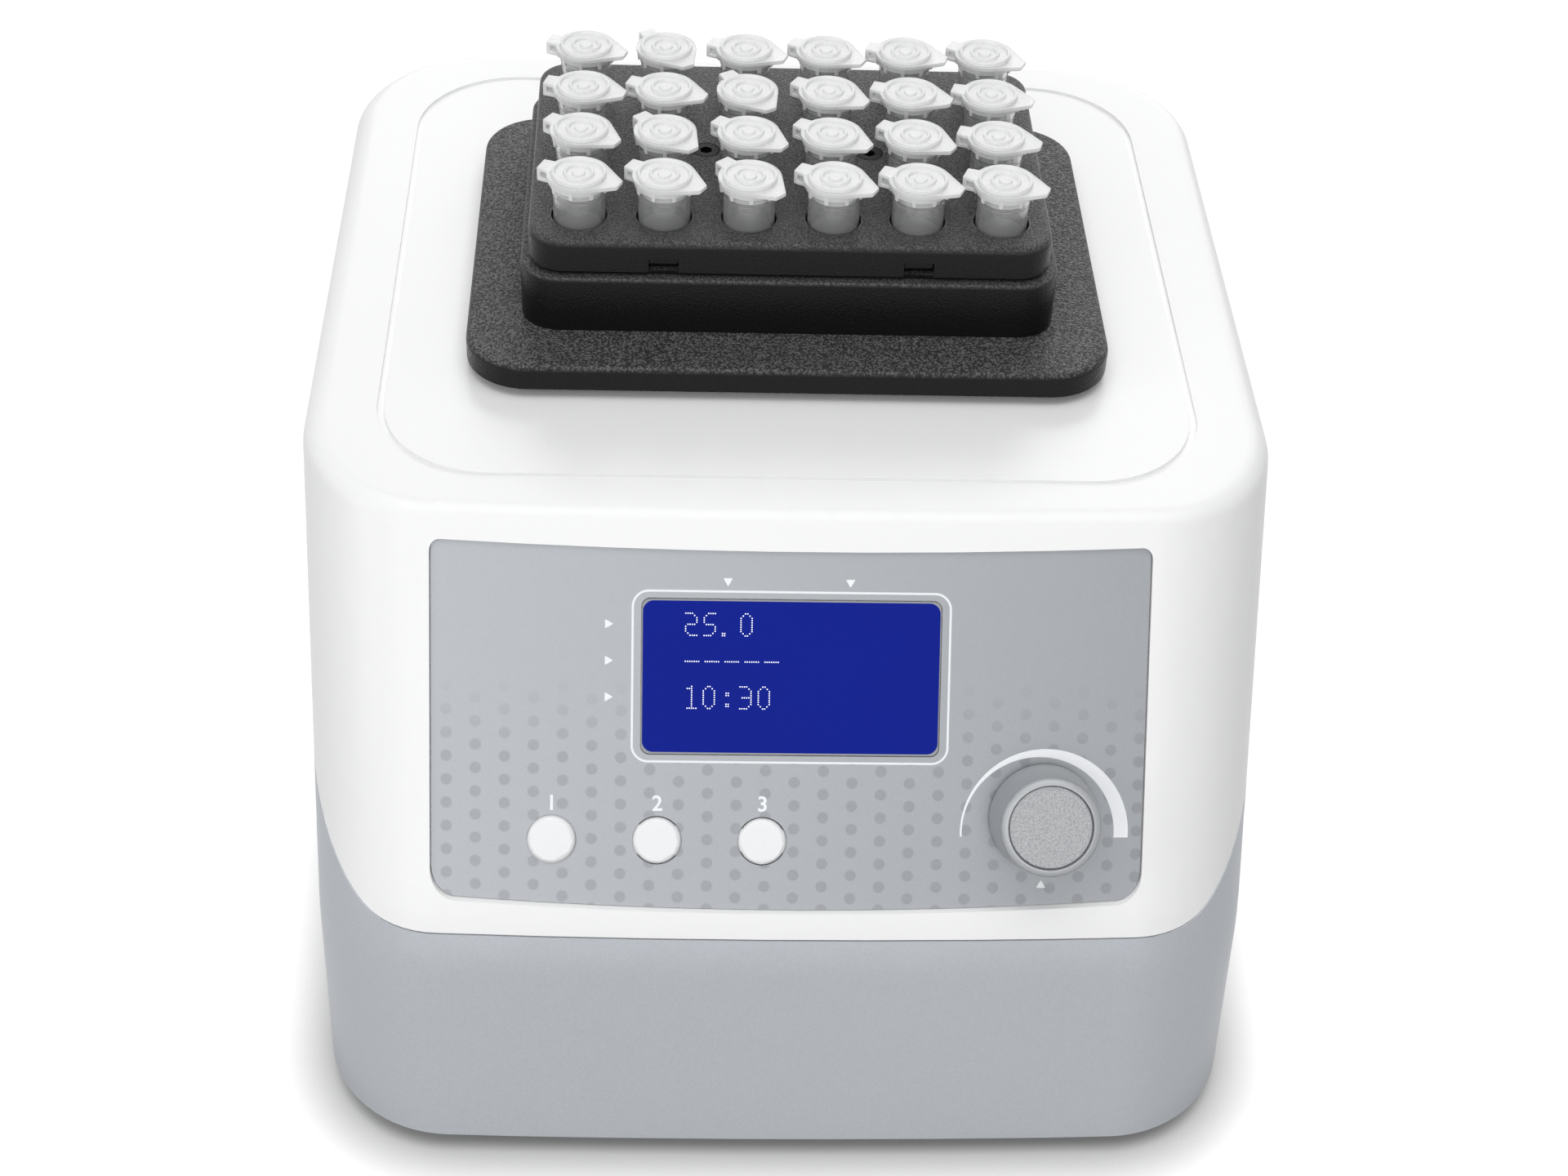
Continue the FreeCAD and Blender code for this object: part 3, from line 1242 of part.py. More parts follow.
def build_tube():
    """One closed tube: hollow body, collar, lid with its thumb tab, and the hinge strap."""
    lid_bottom = "(dims.tube_length - dims.lid_thickness)"
    collar_bottom = f"({lid_bottom} - dims.collar_height)"
    bore = "(dims.tube_radius - dims.tube_wall)"
    rim = "(dims.lid_radius - dims.lid_rim)"
    dish = "(dims.tube_length - dims.lid_thickness / 3)"
    tube = turned("tube_form", [
        ("0", "0"),
        ("(dims.tube_radius * 0.45)", "0"),
        ("(dims.tube_radius * 0.82)", "(dims.tube_radius * 0.3)"),
        ("dims.tube_radius", "(dims.tube_radius * 0.8)"),
        ("dims.tube_radius", collar_bottom),
        ("dims.collar_radius", collar_bottom),
        ("dims.collar_radius", lid_bottom),
        ("dims.lid_radius", lid_bottom),
        ("dims.lid_radius", "dims.tube_length"),
        (rim, "dims.tube_length"),
        (rim, dish),
        ("0", dish),
        ("0", lid_bottom),
        (bore, lid_bottom),
        (bore, "(dims.tube_radius * 0.8 + dims.tube_wall)"),
        ("(dims.tube_radius * 0.45)", "dims.tube_wall"),
        ("0", "dims.tube_wall"),
    ])

    sketch = new_sketch(tube, "XY_Plane", lid_bottom)
    half = "(dims.tab_width / 2)"
    root = "(dims.lid_radius * cos(30))"
    outline(sketch, [
        (root, "(-dims.lid_radius * sin(30))"),
        ("(dims.tab_reach - dims.tab_width / 4)", f"-{half}"),
        ("dims.tab_reach", f"(-{half} / 2)"),
        ("dims.tab_reach", f"({half} / 2)"),
        ("(dims.tab_reach - dims.tab_width / 4)", half),
        (root, "(dims.lid_radius * sin(30))"),
    ])
    pad(tube, sketch, "(dims.lid_thickness * 0.6)")

    sketch = new_sketch(tube, "XZ_Plane")
    inner = "(-dims.collar_radius + dims.strap_gauge)"
    loop_bottom = f"({collar_bottom} + dims.strap_gauge)"
    loop_top = f"({lid_bottom} + dims.strap_gauge)"
    outline(sketch, [
        (inner, collar_bottom),
        ("(-dims.strap_reach)", collar_bottom),
        ("(-dims.strap_reach)", loop_top),
        (inner, loop_top),
        (inner, lid_bottom),
        ("(-dims.strap_reach + dims.strap_gauge)", lid_bottom),
        ("(-dims.strap_reach + dims.strap_gauge)", loop_bottom),
        (inner, loop_bottom),
    ])
    pad(tube, sketch, "dims.strap_width", midplane=True)
    return tube


def build_tubes():
    """A copy of the tube in each well, each turned its own way."""
    form = build_tube()
    tubes = []
    for row, directions in enumerate(TAB_DIRECTIONS):
        for column, direction in enumerate(directions):
            label = f"tube_{row * COLUMNS + column + 1:02d}"
            tube = doc.addObject("Part::Compound", label)
            tube.Label = label
            tube.Links = [form]
            place(tube, f"(({column} - {COLUMNS - 1} / 2) * dims.tube_pitch)",
                  f"({BLOCK_Y} + ({row} - {ROWS - 1} / 2) * dims.tube_pitch)", TUBE_BOTTOM,
                  Vector(0, 0, 1), str(direction))
            tubes.append(tube)
    return tubes


def export(nodes):
    """Check the whole document, then write each node to its own file."""
    doc.recompute()
    faults = [item.Label for item in doc.Objects if {"Invalid", "Error"} & set(item.State)]
    for node in nodes:
        if node.Shape.isNull() or not node.Shape.isValid():
            faults.append(node.Label)
    if faults:
        raise RuntimeError("faulty: " + ", ".join(faults))
    os.makedirs("parts", exist_ok=True)
    for node in nodes:
        node.Shape.exportStep(os.path.join("parts", node.Label + ".step"))
        solids = len(node.Shape.Solids)
        print(f"{node.Label}: {solids} solid, {node.Shape.Volume / 1000:.2f} cm3")


export(build_case() + build_fasteners() + build_block() + build_heater() + build_panel()
       + build_controls() + build_rear() + build_tubes())
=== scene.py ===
"""Looks of a dry block heater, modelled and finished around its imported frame."""

import json
import math

import bmesh
import bpy
from bpy.props import FloatProperty, FloatVectorProperty, IntProperty, PointerProperty, StringProperty
from mathutils import Matrix, Vector

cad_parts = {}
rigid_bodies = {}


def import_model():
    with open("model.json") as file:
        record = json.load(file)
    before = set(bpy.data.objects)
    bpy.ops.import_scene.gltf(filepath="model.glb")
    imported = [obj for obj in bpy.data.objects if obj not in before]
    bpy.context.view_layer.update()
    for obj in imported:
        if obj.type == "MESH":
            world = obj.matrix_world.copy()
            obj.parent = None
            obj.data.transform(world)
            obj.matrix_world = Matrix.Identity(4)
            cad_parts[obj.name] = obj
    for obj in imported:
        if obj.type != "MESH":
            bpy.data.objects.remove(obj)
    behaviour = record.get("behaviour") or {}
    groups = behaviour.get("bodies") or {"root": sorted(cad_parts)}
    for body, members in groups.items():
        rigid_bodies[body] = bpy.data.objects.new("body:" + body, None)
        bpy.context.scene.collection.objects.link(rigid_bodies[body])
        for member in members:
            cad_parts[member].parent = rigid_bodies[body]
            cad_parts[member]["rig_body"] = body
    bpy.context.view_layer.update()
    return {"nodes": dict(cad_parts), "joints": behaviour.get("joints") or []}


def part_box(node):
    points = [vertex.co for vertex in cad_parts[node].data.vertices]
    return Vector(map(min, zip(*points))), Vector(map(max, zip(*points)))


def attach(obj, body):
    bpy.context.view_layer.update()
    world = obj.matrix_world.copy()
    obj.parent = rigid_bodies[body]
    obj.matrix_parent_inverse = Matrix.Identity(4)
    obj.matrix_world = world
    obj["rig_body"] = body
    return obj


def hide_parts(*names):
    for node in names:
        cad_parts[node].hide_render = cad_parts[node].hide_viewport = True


bl_info = {
    "name": "Dry Block Heater",
    "version": (1, 0, 0),
    "blender": (4, 5, 0),
    "location": "View3D > Sidebar > Heater",
    "description": "Models and finishes the pieces of a dry block heater around its packed frame",
    "category": "Object",
}

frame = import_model()

# Units, tolerances and counts
MM = 0.001
MERGE_DISTANCE = 0.000001
CLOSE = 0.0001
STAND_OFF = 0.05
LEAST_FACING = 0.9
SMOOTH_ANGLE = math.radians(32)
SOFT_ANGLE = math.radians(65)
TUBES = 24


def joint_axis(name):
    """Direction in which a joint moves."""
    return Vector(next(joint["axis"] for joint in frame["joints"] if joint["name"] == name)).normalized()


def middle(node):
    """Centre of a node's box."""
    low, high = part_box(node)
    return (low + high) / 2


OUTWARD = -joint_axis("program_press")
UPWARD = Vector((0, OUTWARD.z, -OUTWARD.y))
PANEL_TURN = Matrix((Vector((1, 0, 0)), UPWARD, OUTWARD)).transposed()
PANEL_TILT = math.acos(UPWARD.y)
SCREEN_MIDDLE = middle("display_window")

# Metal, paint and the fuse's caps
METAL_GRAIN = 0.0004
BRUSHED = (1, 1, 12)
FLAKE_DEPTH = 0.00003
FUSE_CAP = (0.24, 0.26)

# Print on the panel, measured from the middle of the display
PANEL_REACH = 0.0715
PANEL_METAL = 0.30
# Painted shade of the panel's silver, from its left end to its right end
PANEL_PAINTED_SHADE = (1.04, 0.82)
PRINT_EDGE = 0.00005
INK_THICKNESS = 0.00003
DOT_ORIGIN = (-0.0685, -0.0164)
DOT_TOP = 0.0005
DOT_FADE = 0.016
ARC_OUTER = (0.05165, -0.0310, 0.0171)
ARC_INNER = (0.05038, -0.0310, 0.01547)
ARC_END = -0.0319
KEY_NUMBER_RISE = 0.0072
KEY_NUMBER_FONT = 1.4
KEY_NUMBER_SHAPE = {"extrude": 0.00002, "offset": 0.00007, "resolution_u": 6}
POINTER_SIZE = 0.0011
POINTER_ROUND = 0.2
POINTERS = (
    (-0.0365, 0.0104, -math.pi / 2),
    (-0.0365, 0.0031, -math.pi / 2),
    (-0.0365, -0.0042, -math.pi / 2),
    (-0.0128, 0.0192, math.pi),
    (0.0115, 0.0192, math.pi),
    (0.0513, -0.0418, 0.0),
)

# Figures on the display: places and thicknesses in metres, pitches, columns and rows in cells
FIGURE_TOPS = (0.0127, -0.0019)
FIGURE_LEFT = -0.0211
FIGURE_PITCH = 8.3
CELL_FILL = 0.54
CELL_THICKNESS = 0.00006
CELL_EDGE = 0.12
CELL_CROWN = 0.00001
DASH_HEIGHT = 0.0031
DASHES = 5
DASH_CELLS = 7
DASH_PITCH = 9
LAST_COLUMN = 5
LAST_ROW = 10
MIDDLE_ROW = 5
UPPER_ROWS = range(2, 5)
LOWER_ROWS = range(6, 9)
BARS = {
    "0": "abcdef", "2": "abged", "3": "abgcd", "4": "fgbc", "5": "afgcd",
    "6": "afgecd", "7": "abc", "8": "abcdefg", "9": "abcdfg",
}

# Lip of an opening, outwards from its edge and up from the cover
LIP_RINGS = (
    (0.00040, -0.00010), (0.00030, 0.00004), (0.00010, 0.00004), (-0.00004, -0.00012), (-0.00004, -0.00050),
)
LIP_SIDES = 48
LIP_ANGLE = math.radians(60)

# Screw heads and their sockets
HEAD_REACH = 0.008
HEAD_DEPTH = 0.0005
SOCKET_RADIUS = 0.0014
SOCKET_DEPTH = 0.003
SOCKET_POINT = 0.0004
SOCKET_TAPER = 0.2

# Tube's wall: the feet of wall and bore as shares of a radius, the small ring's steps outwards and upwards
TUBE_FOOT = ((0.30, 0.0), (0.55, 0.10), (0.80, 0.32), (0.95, 0.62), (1.0, 1.0))
BORE_FOOT = ((1.0, 1.0), (0.93, 0.72), (0.75, 0.42))
BORE_FLOOR = 0.30
WALL_RING = ((0.0, 0.0), (0.00012, 0.0001), (0.00012, 0.0003), (0.0, 0.0004))
WALL_RING_DROP = 0.0016
COLLAR_HEIGHT = 0.0022
WALL_STEP = 0.0002
WALL_ANGLE = math.radians(40)

# Tube's lid: the cap by shares of the lid's radius, the band outwards from the collar, both up from the floor
PLUG_DEPTH = 0.0030
PLUG_SHOULDER = 0.0010
PLUG_FIT = 0.0001
CAP_RINGS = (
    (0.86, 0.0008), (0.84, 0.0014), (0.80, 0.0015), (0.76, 0.0014), (0.73, 0.00085), (0.50, 0.00080),
    (0.47, 0.0013), (0.43, 0.0014), (0.39, 0.0013), (0.36, 0.00085), (0.22, 0.00080), (0.19, 0.0012),
    (0.05, 0.0013),
)
BAND_RINGS = ((-0.0003, -0.0001), (-0.0003, -0.0011), (0.0, -0.0013), (0.0002, -0.0011), (0.0003, -0.0001))
LID_ANGLE = math.radians(38)
FLANGE_SHARE = 0.6
FLANGE_BEVEL = 0.00014
FLANGE_BEVEL_ANGLE = math.radians(50)
FLAT_ANGLE = math.radians(1)
TAB_END = 0.001
RIM_WIDTH = 0.0006
RIM_HEIGHT = 0.00035
UNDER_STEP = 0.0003
RIB_SIZE = (0.0008, 0.0011, 0.0020)
RIB_DROP = 0.0011
RIB_TAPER = (0.6, 0.7, 1)
RIB_BEVEL = 0.00012
STRAP_THICKNESS = 0.0009
STRAP_OVERLAP = 0.0006
STRAP_TAPER = 0.86
STRAP_DROP = 0.0013
STRAP_BEVEL = 0.00025
STRAP_BEVEL_ANGLE = math.radians(40)

# Marks on the rocker, with their height as a share of it
ROCKER_MARKS = (("on", "I", 0.74), ("off", "O", 0.26))
MARK_SHAPE = {"size": 0.0052, "extrude": 0.00004}

# Camera, floor and lamps
SENSOR_WIDTH = 36
NEAREST_SEEN = 0.01
FLOOR_SIDES = 64
FLOOR_RADIUS = 1.2
FLOOR_DROP = 0.0001
FLOOR_GLOW = 0.80
# Painted shadow on the floor: its reach, its depth and the way it leans
SHADOW_REACH = 0.014
SHADOW_DEPTH = 2.0
SHADOW_LEAN = (0.0, 0.55, 0.83)
LAMP_AIM = Vector((0, 0, 0.06))
LAMPS = (
    ("overhead_lamp", (0, -0.25, 1.4), (1.4, 1.0), 8.6),
    ("rear_lamp", (0.1, 1.2, 1.2), (0.7, 0.35), 2.8),
    ("front_lamp", (-0.22, -1.4, 0.75), (1.8, 1.2), 10.8),
    ("left_lamp", (-1.15, -0.55, 0.55), (0.4, 0.6), 1.8),
    ("back_lamp", (0.3, 1.5, 0.6), (1.6, 1.0), 7),
)


# Settings


def length(name, description, millimetres):
    """A length that a user may change, given in millimetres."""
    return FloatProperty(name=name, description=description, default=millimetres * MM,
                         unit="LENGTH", subtype="DISTANCE", precision=5)


def colour(name, description, red, green, blue):
    """A colour that a user may change."""
    return FloatVectorProperty(name=name, description=description, size=3, subtype="COLOR",
                               default=(red, green, blue), min=0, max=1)


class HeaterCaseSettings(bpy.types.PropertyGroup):
    """Colours and surface of the two case mouldings."""
    white: colour("White", "Colour of the upper moulding", 0.90, 0.902, 0.905)
    silver: colour("Silver", "Colour of the lower moulding's paint", 0.43, 0.450, 0.482)
    grain: length("Grain", "Size of the moulded grain", 0.45)
    flake: length("Flake", "Size of the paint's flakes", 0.22)


class HeaterPanelSettings(bpy.types.PropertyGroup):
    """Print on the control panel and what the display shows."""
    silver: colour("Silver", "Colour of the panel", 0.345, 0.360, 0.382)
    dot: colour("Dot", "Colour of the printed dots", 0.278, 0.291, 0.311)
    ink: colour("Ink", "Colour of the white print", 0.90, 0.915, 0.94)
    blue: colour("Blue", "Colour of the display", 0.0006, 0.0085, 0.20)
    lit: colour("Lit", "Colour of the lit figures", 0.86, 0.90, 1.0)
    dot_size: length("Dot size", "Diameter of a printed dot", 2.3)
    dot_column: length("Dot columns", "Distance between columns of dots", 5.79)
    dot_row: length("Dot rows", "Distance between dots in a column", 4.72)
    frame_width: length("Frame width", "Width of the line round the display", 63.2)
    frame_height: length("Frame height", "Height of the line round the display", 34.2)
    frame_round: length("Frame corner", "Corner radius of the line round the display", 3.2)
    line: length("Line", "Width of the line round the display", 0.42)
    screen_width: length("Screen width", "Width of the blue field", 59.2)
    screen_height: length("Screen height", "Height of the blue field", 30.4)
    screen_round: length("Screen corner", "Corner radius of the blue field", 2.2)
    cell: length("Cell", "Pitch of the display's cells", 0.44)
    key_radius: length("Key radius", "Radius of a key", 4.7)
    key_fit: length("Key fit", "How far a key fills the gap round it", 0.21)
    figure_height: length("Figure height", "Height of the key numbers", 3.1)
    upper_figures: StringProperty(name="Upper figures", description="Upper number on the display",
                                  default="25.0")
    lower_figures: StringProperty(name="Lower figures", description="Lower number on the display",
                                  default="10:30")


class HeaterBlockSettings(bpy.types.PropertyGroup):
    """Surface of the plate, skirt and cover, and the cover's openings."""
    plate: colour("Plate", "Colour of the grained plate", 0.050, 0.050, 0.0505)
    cover: colour("Cover", "Colour of the cover and skirt", 0.055, 0.055, 0.0555)
    plate_grain: length("Plate grain", "Size of the plate's grain", 0.50)
    opening: length("Opening", "Radius of the cover's openings", 5.8)
    cover_grain: length("Cover grain", "Size of the cover's grain", 0.42)


class HeaterTubeSettings(bpy.types.PropertyGroup):
    """Sizes of one closed tube, upright on its own axis."""
    radius: length("Radius", "Outer radius of the wall", 5.4)
    wall: length("Wall", "Thickness of the wall", 0.7)
    collar_radius: length("Collar radius", "Radius of the collar under the lid", 6.0)
    lid_radius: length("Lid radius", "Radius of the lid", 6.6)
    lid_height: length("Lid height", "Thickness of the lid", 1.5)
    tab_reach: length("Tab reach", "Distance from the axis to the end of the thumb tab", 9.3)
    tab_width: length("Tab width", "Width of the tab's blunt end", 2.6)
    strap_reach: length("Strap reach", "Distance from the axis to the end of the hinge strap", 8.7)
    strap_width: length("Strap width", "Width of the hinge strap", 4.2)
    teeth: IntProperty(name="Teeth", description="Ribs under the lid's edge", default=9, min=3)
    segments: IntProperty(name="Segments", description="Sides of the round forms", default=48, min=12)


class HeaterStageSettings(bpy.types.PropertyGroup):
    """Camera, floor and even light."""
    lens: FloatProperty(name="Lens", description="Focal length in millimetres", default=60.1706)
    tilt: FloatProperty(name="Tilt", description="Camera's angle below the horizon",
                        default=math.radians(43.0775), subtype="ANGLE")
    turn: FloatProperty(name="Turn", description="Camera's turn about the vertical",
                        default=math.radians(-3.5281), subtype="ANGLE")
    roll: FloatProperty(name="Roll", description="Camera's roll about its own axis",
                        default=math.radians(2.9998), subtype="ANGLE")
    place: FloatVectorProperty(name="Place", description="Where the camera stands", size=3, unit="LENGTH",
                               subtype="TRANSLATION", default=(-0.0247979, -0.4650665, 0.4441118))
    rise: FloatProperty(name="Rise", description="Upward shift of the lens", default=0.0834)
    floor: colour("Floor", "Colour of the floor", 0.36, 0.36, 0.36)
    ambient: FloatProperty(name="Ambient", description="Strength of the even light", default=0.27, min=0)


SETTINGS = (
    ("heater_case", HeaterCaseSettings),
    ("heater_panel", HeaterPanelSettings),
    ("heater_block", HeaterBlockSettings),
    ("heater_tube", HeaterTubeSettings),
    ("heater_stage", HeaterStageSettings),
)


# Finishes


class NodeTree:
    """A node tree that is built up one node at a time."""

    def __init__(self, owner, shader):
        owner.use_nodes = True
        self.tree = owner.node_tree
        self.shader = self.tree.nodes[shader]

    def node(self, kind, *values, **choices):
        made = self.tree.nodes.new(kind)
        for choice, value in choices.items():
            setattr(made, choice, value)
        for socket, value in zip(made.inputs, values):
            self.wire(value, socket)
        return made

    def wire(self, value, socket):
        if isinstance(value, bpy.types.NodeSocket):
            self.tree.links.new(value, socket)
        elif value is not None:
            socket.default_value = value

    def set(self, words, value):
        self.wire(value, self.shader.inputs[words])

    def math(self, operation, first, second=None, third=None):
        return self.node("ShaderNodeMath", first, second, third, operation=operation).outputs[0]

    def ramp(self, value, low, high, start, end):
        """A straight change from start at low to end at high, and level beyond."""
        return self.node("ShaderNodeMapRange", value, low, high, start, end).outputs[0]

    def seen(self):
        """1 for what the camera sees, straight or by way of gloss or glass, and 0 for other light."""
        rays = self.node("ShaderNodeLightPath").outputs
        straight = self.math("MAXIMUM", rays["Is Camera Ray"], rays["Is Transmission Ray"])
        return self.math("MAXIMUM", straight, rays["Is Glossy Ray"])


class Finish(NodeTree):
    """A node material on Object coordinates, with the even values of its surface set at the start."""

    def __init__(self, name, **surface):
        self.material = bpy.data.materials.new(name)
        super().__init__(self.material, "Principled BSDF")
        self.object_place = self.node("ShaderNodeTexCoord").outputs["Object"]
        for words, value in surface.items():
            self.shader.inputs[words.replace("_", " ")].default_value = value

    def vector(self, operation, first, second=None):
        return self.node("ShaderNodeVectorMath", first, second, operation=operation)

    def parts(self, vector):
        return self.node("ShaderNodeSeparateXYZ", vector).outputs

    def within(self, value, low, high):
        """0 below low, 1 above high, and a straight rise between."""
        return self.ramp(value, low, high, 0.0, 1.0)

    def noise(self, size, detail=3.0, place=None):
        made = self.node("ShaderNodeTexNoise")
        self.wire(place or self.object_place, made.inputs["Vector"])
        made.inputs["Scale"].default_value = 1 / size
        made.inputs["Detail"].default_value = detail
        return made.outputs[0]

    def cells(self, size, output="Distance"):
        made = self.node("ShaderNodeTexVoronoi")
        self.wire(self.object_place, made.inputs["Vector"])
        made.inputs["Scale"].default_value = 1 / size
        return made.outputs[output]

    def turned(self, centre=(0, 0, 0), turn=(0, 0, 0), stretch=(1, 1, 1)):
        """Object coordinates about a centre, turned and stretched to lie along a pattern."""
        made = self.node("ShaderNodeMapping", vector_type="TEXTURE")
        self.wire(self.object_place, made.inputs["Vector"])
        made.inputs["Location"].default_value = centre
        made.inputs["Rotation"].default_value = turn
        made.inputs["Scale"].default_value = stretch
        return made.outputs[0]

    def mix(self, factor, first, second):
        made = self.node("ShaderNodeMix", data_type="RGBA")
        self.wire(factor, made.inputs[0])
        for value, socket in ((first, made.inputs[6]), (second, made.inputs[7])):
            is_socket = isinstance(value, bpy.types.NodeSocket)
            self.wire(value if is_socket else (*value, 1.0), socket)
        return made.outputs[2]

    def bump(self, height, depth, strength=1.0):
        made = self.node("ShaderNodeBump")
        made.inputs["Strength"].default_value = strength
        made.inputs["Distance"].default_value = depth
        self.wire(height, made.inputs["Height"])
        return made.outputs[0]


def toned(base, by):
    """A colour made darker or lighter by a factor."""
    return tuple(min(1.0, part * by) for part in base)


def moulded(name, base, grain, depth, rough, spread, tone=0.06):
    """Moulded plastic with a fine grain, uneven sheen and slightly uneven colour."""
    finish = Finish(name)
    cloud = finish.math("MULTIPLY_ADD", finish.noise(grain * 60, 3), 0.6, 0.5)
    fine = finish.noise(grain, 4)
    pits = finish.cells(grain * 1.4)
    finish.set("Base Color", finish.mix(cloud, toned(base, 1 - tone), toned(base, 1 + tone)))
    finish.set("Roughness", finish.ramp(fine, 0.3, 0.7, rough - spread, rough + spread))
    finish.set("Normal", finish.bump(finish.math("ADD", fine, pits), depth))
    return finish.material


def metal(name, base, rough):
    """Bare metal with fine drawn lines."""
    finish = Finish(name, Metallic=1.0)
    lines = finish.noise(METAL_GRAIN, 4, finish.turned(stretch=BRUSHED))
    cloud = finish.noise(METAL_GRAIN * 50, 2)
    finish.set("Base Color", finish.mix(cloud, toned(base, 0.86), toned(base, 1.05)))
    finish.set("Roughness", finish.ramp(lines, 0.2, 0.8, rough * 0.75, rough * 1.3))
    finish.set("Normal", finish.bump(lines, 0.00002, 0.5))
    return finish.material


def flaked(name, base, flake, rough, sparkle, **surface):
    """Silver paint whose flakes catch the light unevenly, open for more layers."""
    finish = Finish(name, **surface)
    flakes = finish.parts(finish.cells(flake, "Color"))[0]
    cloud = finish.noise(flake * 150, 2)
    speckle = finish.mix(flakes, toned(base, 1 - sparkle), toned(base, 1 + sparkle))
    finish.set("Base Color", finish.mix(finish.math("MULTIPLY", cloud, 0.25), speckle, toned(base, 1.12)))
    finish.set("Roughness", finish.ramp(flakes, 0.0, 1.0, rough * 0.85, rough * 1.15))
    finish.set("Normal", finish.bump(flakes, FLAKE_DEPTH, 0.4))
    return finish


def panel_place(finish):
    """How far across and up the panel a point lies from the middle of the display."""
    across, up, _ = finish.parts(finish.turned(SCREEN_MIDDLE, (PANEL_TILT, 0, 0)))
    return across, up


def disc(finish, across, up, centre, radius, soft):
    """1 inside a circle of the panel, 0 outside."""
    from_centre = finish.node("ShaderNodeCombineXYZ", finish.math("SUBTRACT", across, centre[0]),
                              finish.math("SUBTRACT", up, centre[1]), 0.0).outputs[0]
    reach = finish.vector("LENGTH", from_centre).outputs["Value"]
    return finish.within(reach, radius + soft, radius - soft)


def printed_panel(settings):
    """Silver overlay with staggered dots, a line round the display and a growing arc round the knob, with
    painted shade that darkens the silver and its dots from left to right.
    """
    finish = flaked("printed_panel", settings.silver, 0.00018, 0.40, 0.05, Metallic=PANEL_METAL)
    silver = finish.shader.inputs["Base Color"].links[0].from_socket
    soft = PRINT_EDGE
    across, up = panel_place(finish)

    column = finish.math("DIVIDE", finish.math("SUBTRACT", across, DOT_ORIGIN[0]), settings.dot_column)
    number = finish.math("ROUND", column)
    sideways = finish.math("MULTIPLY", finish.math("SUBTRACT", column, number), settings.dot_column)
    odd = finish.math("MULTIPLY", finish.math("PINGPONG", number, 1.0), settings.dot_row / 2)
    row = finish.math("DIVIDE", finish.math("ADD", finish.math("SUBTRACT", up, DOT_ORIGIN[1]), odd),
                      settings.dot_row)
    past_row = finish.math("SUBTRACT", row, finish.math("ROUND", row))
    upways = finish.math("MULTIPLY", past_row, settings.dot_row)
    dots = disc(finish, sideways, upways, (0, 0), settings.dot_size / 2, soft * 3)
    fade = finish.within(up, DOT_TOP, DOT_TOP - DOT_FADE)
    outside = past_corner(finish, across, up, settings.frame_width / 2, settings.frame_height / 2,
                          settings.frame_round)
    from_line = finish.math("ABSOLUTE", finish.math("SUBTRACT", outside, settings.frame_round))
    line = finish.within(from_line, settings.line / 2 + soft, settings.line / 2 - soft)
    clear = finish.within(outside, settings.frame_round - soft, settings.frame_round + soft)
    dots = finish.math("MULTIPLY", finish.math("MULTIPLY", dots, clear), fade)

    outer = disc(finish, across, up, ARC_OUTER[:2], ARC_OUTER[2], soft)
    inner = disc(finish, across, up, ARC_INNER[:2], ARC_INNER[2], soft)
    above = finish.within(up, ARC_END - soft, ARC_END + soft)
    arc = finish.math("MULTIPLY", finish.math("SUBTRACT", outer, inner), above)
    ink = finish.math("MAXIMUM", line, finish.math("MAXIMUM", arc, 0.0))

    # Painted shade: the silver and its dots lighter at the left end of the panel and darker at the right
    painted_shade = finish.ramp(across, -PANEL_REACH, PANEL_REACH, *PANEL_PAINTED_SHADE)
    dotted = finish.vector("SCALE", finish.mix(dots, silver, settings.dot))
    finish.wire(painted_shade, dotted.inputs["Scale"])
    finish.set("Base Color", finish.mix(ink, dotted.outputs[0], settings.ink))
    finish.set("Metallic", finish.ramp(ink, 0.0, 1.0, PANEL_METAL, 0.0))
    return finish.material


def past_corner(finish, across, up, half_width, half_height, radius):
    """Distance from the rounded rectangle's inner frame, which is the radius at its outline."""
    place = finish.node("ShaderNodeCombineXYZ", across, up, 0.0).outputs[0]
    field = finish.vector("ABSOLUTE", place).outputs[0]
    past = finish.vector("SUBTRACT", field, (half_width - radius, half_height - radius, 0)).outputs[0]
    return finish.vector("LENGTH", finish.vector("MAXIMUM", past, (0, 0, 0)).outputs[0]).outputs["Value"]


def lit_screen(settings):
    """Blue display glass with a faint grid of unlit cells inside a silver printed border."""
    finish = Finish("blue_display", Roughness=0.3, Specular_IOR_Level=0.06, Emission_Strength=0.35)
    across, up = panel_place(finish)
    grid = [finish.math("PINGPONG", value, settings.cell / 2) for value in (across, up)]
    gap = finish.within(finish.math("MINIMUM", *grid), settings.cell * 0.03, settings.cell * 0.09)
    cloud = finish.noise(0.03, 2)
    cells = finish.mix(gap, toned(settings.blue, 0.86), settings.blue)
    shade = finish.mix(finish.math("MULTIPLY", cloud, 0.3), cells, toned(settings.blue, 1.25))
    outside = past_corner(finish, across, up, settings.screen_width / 2, settings.screen_height / 2,
                          settings.screen_round)
    border = finish.within(outside, settings.screen_round - PRINT_EDGE, settings.screen_round + PRINT_EDGE)
    finish.set("Base Color", finish.mix(border, shade, settings.silver))
    finish.set("Emission Color", finish.mix(border, shade, (0, 0, 0)))
    return finish.material


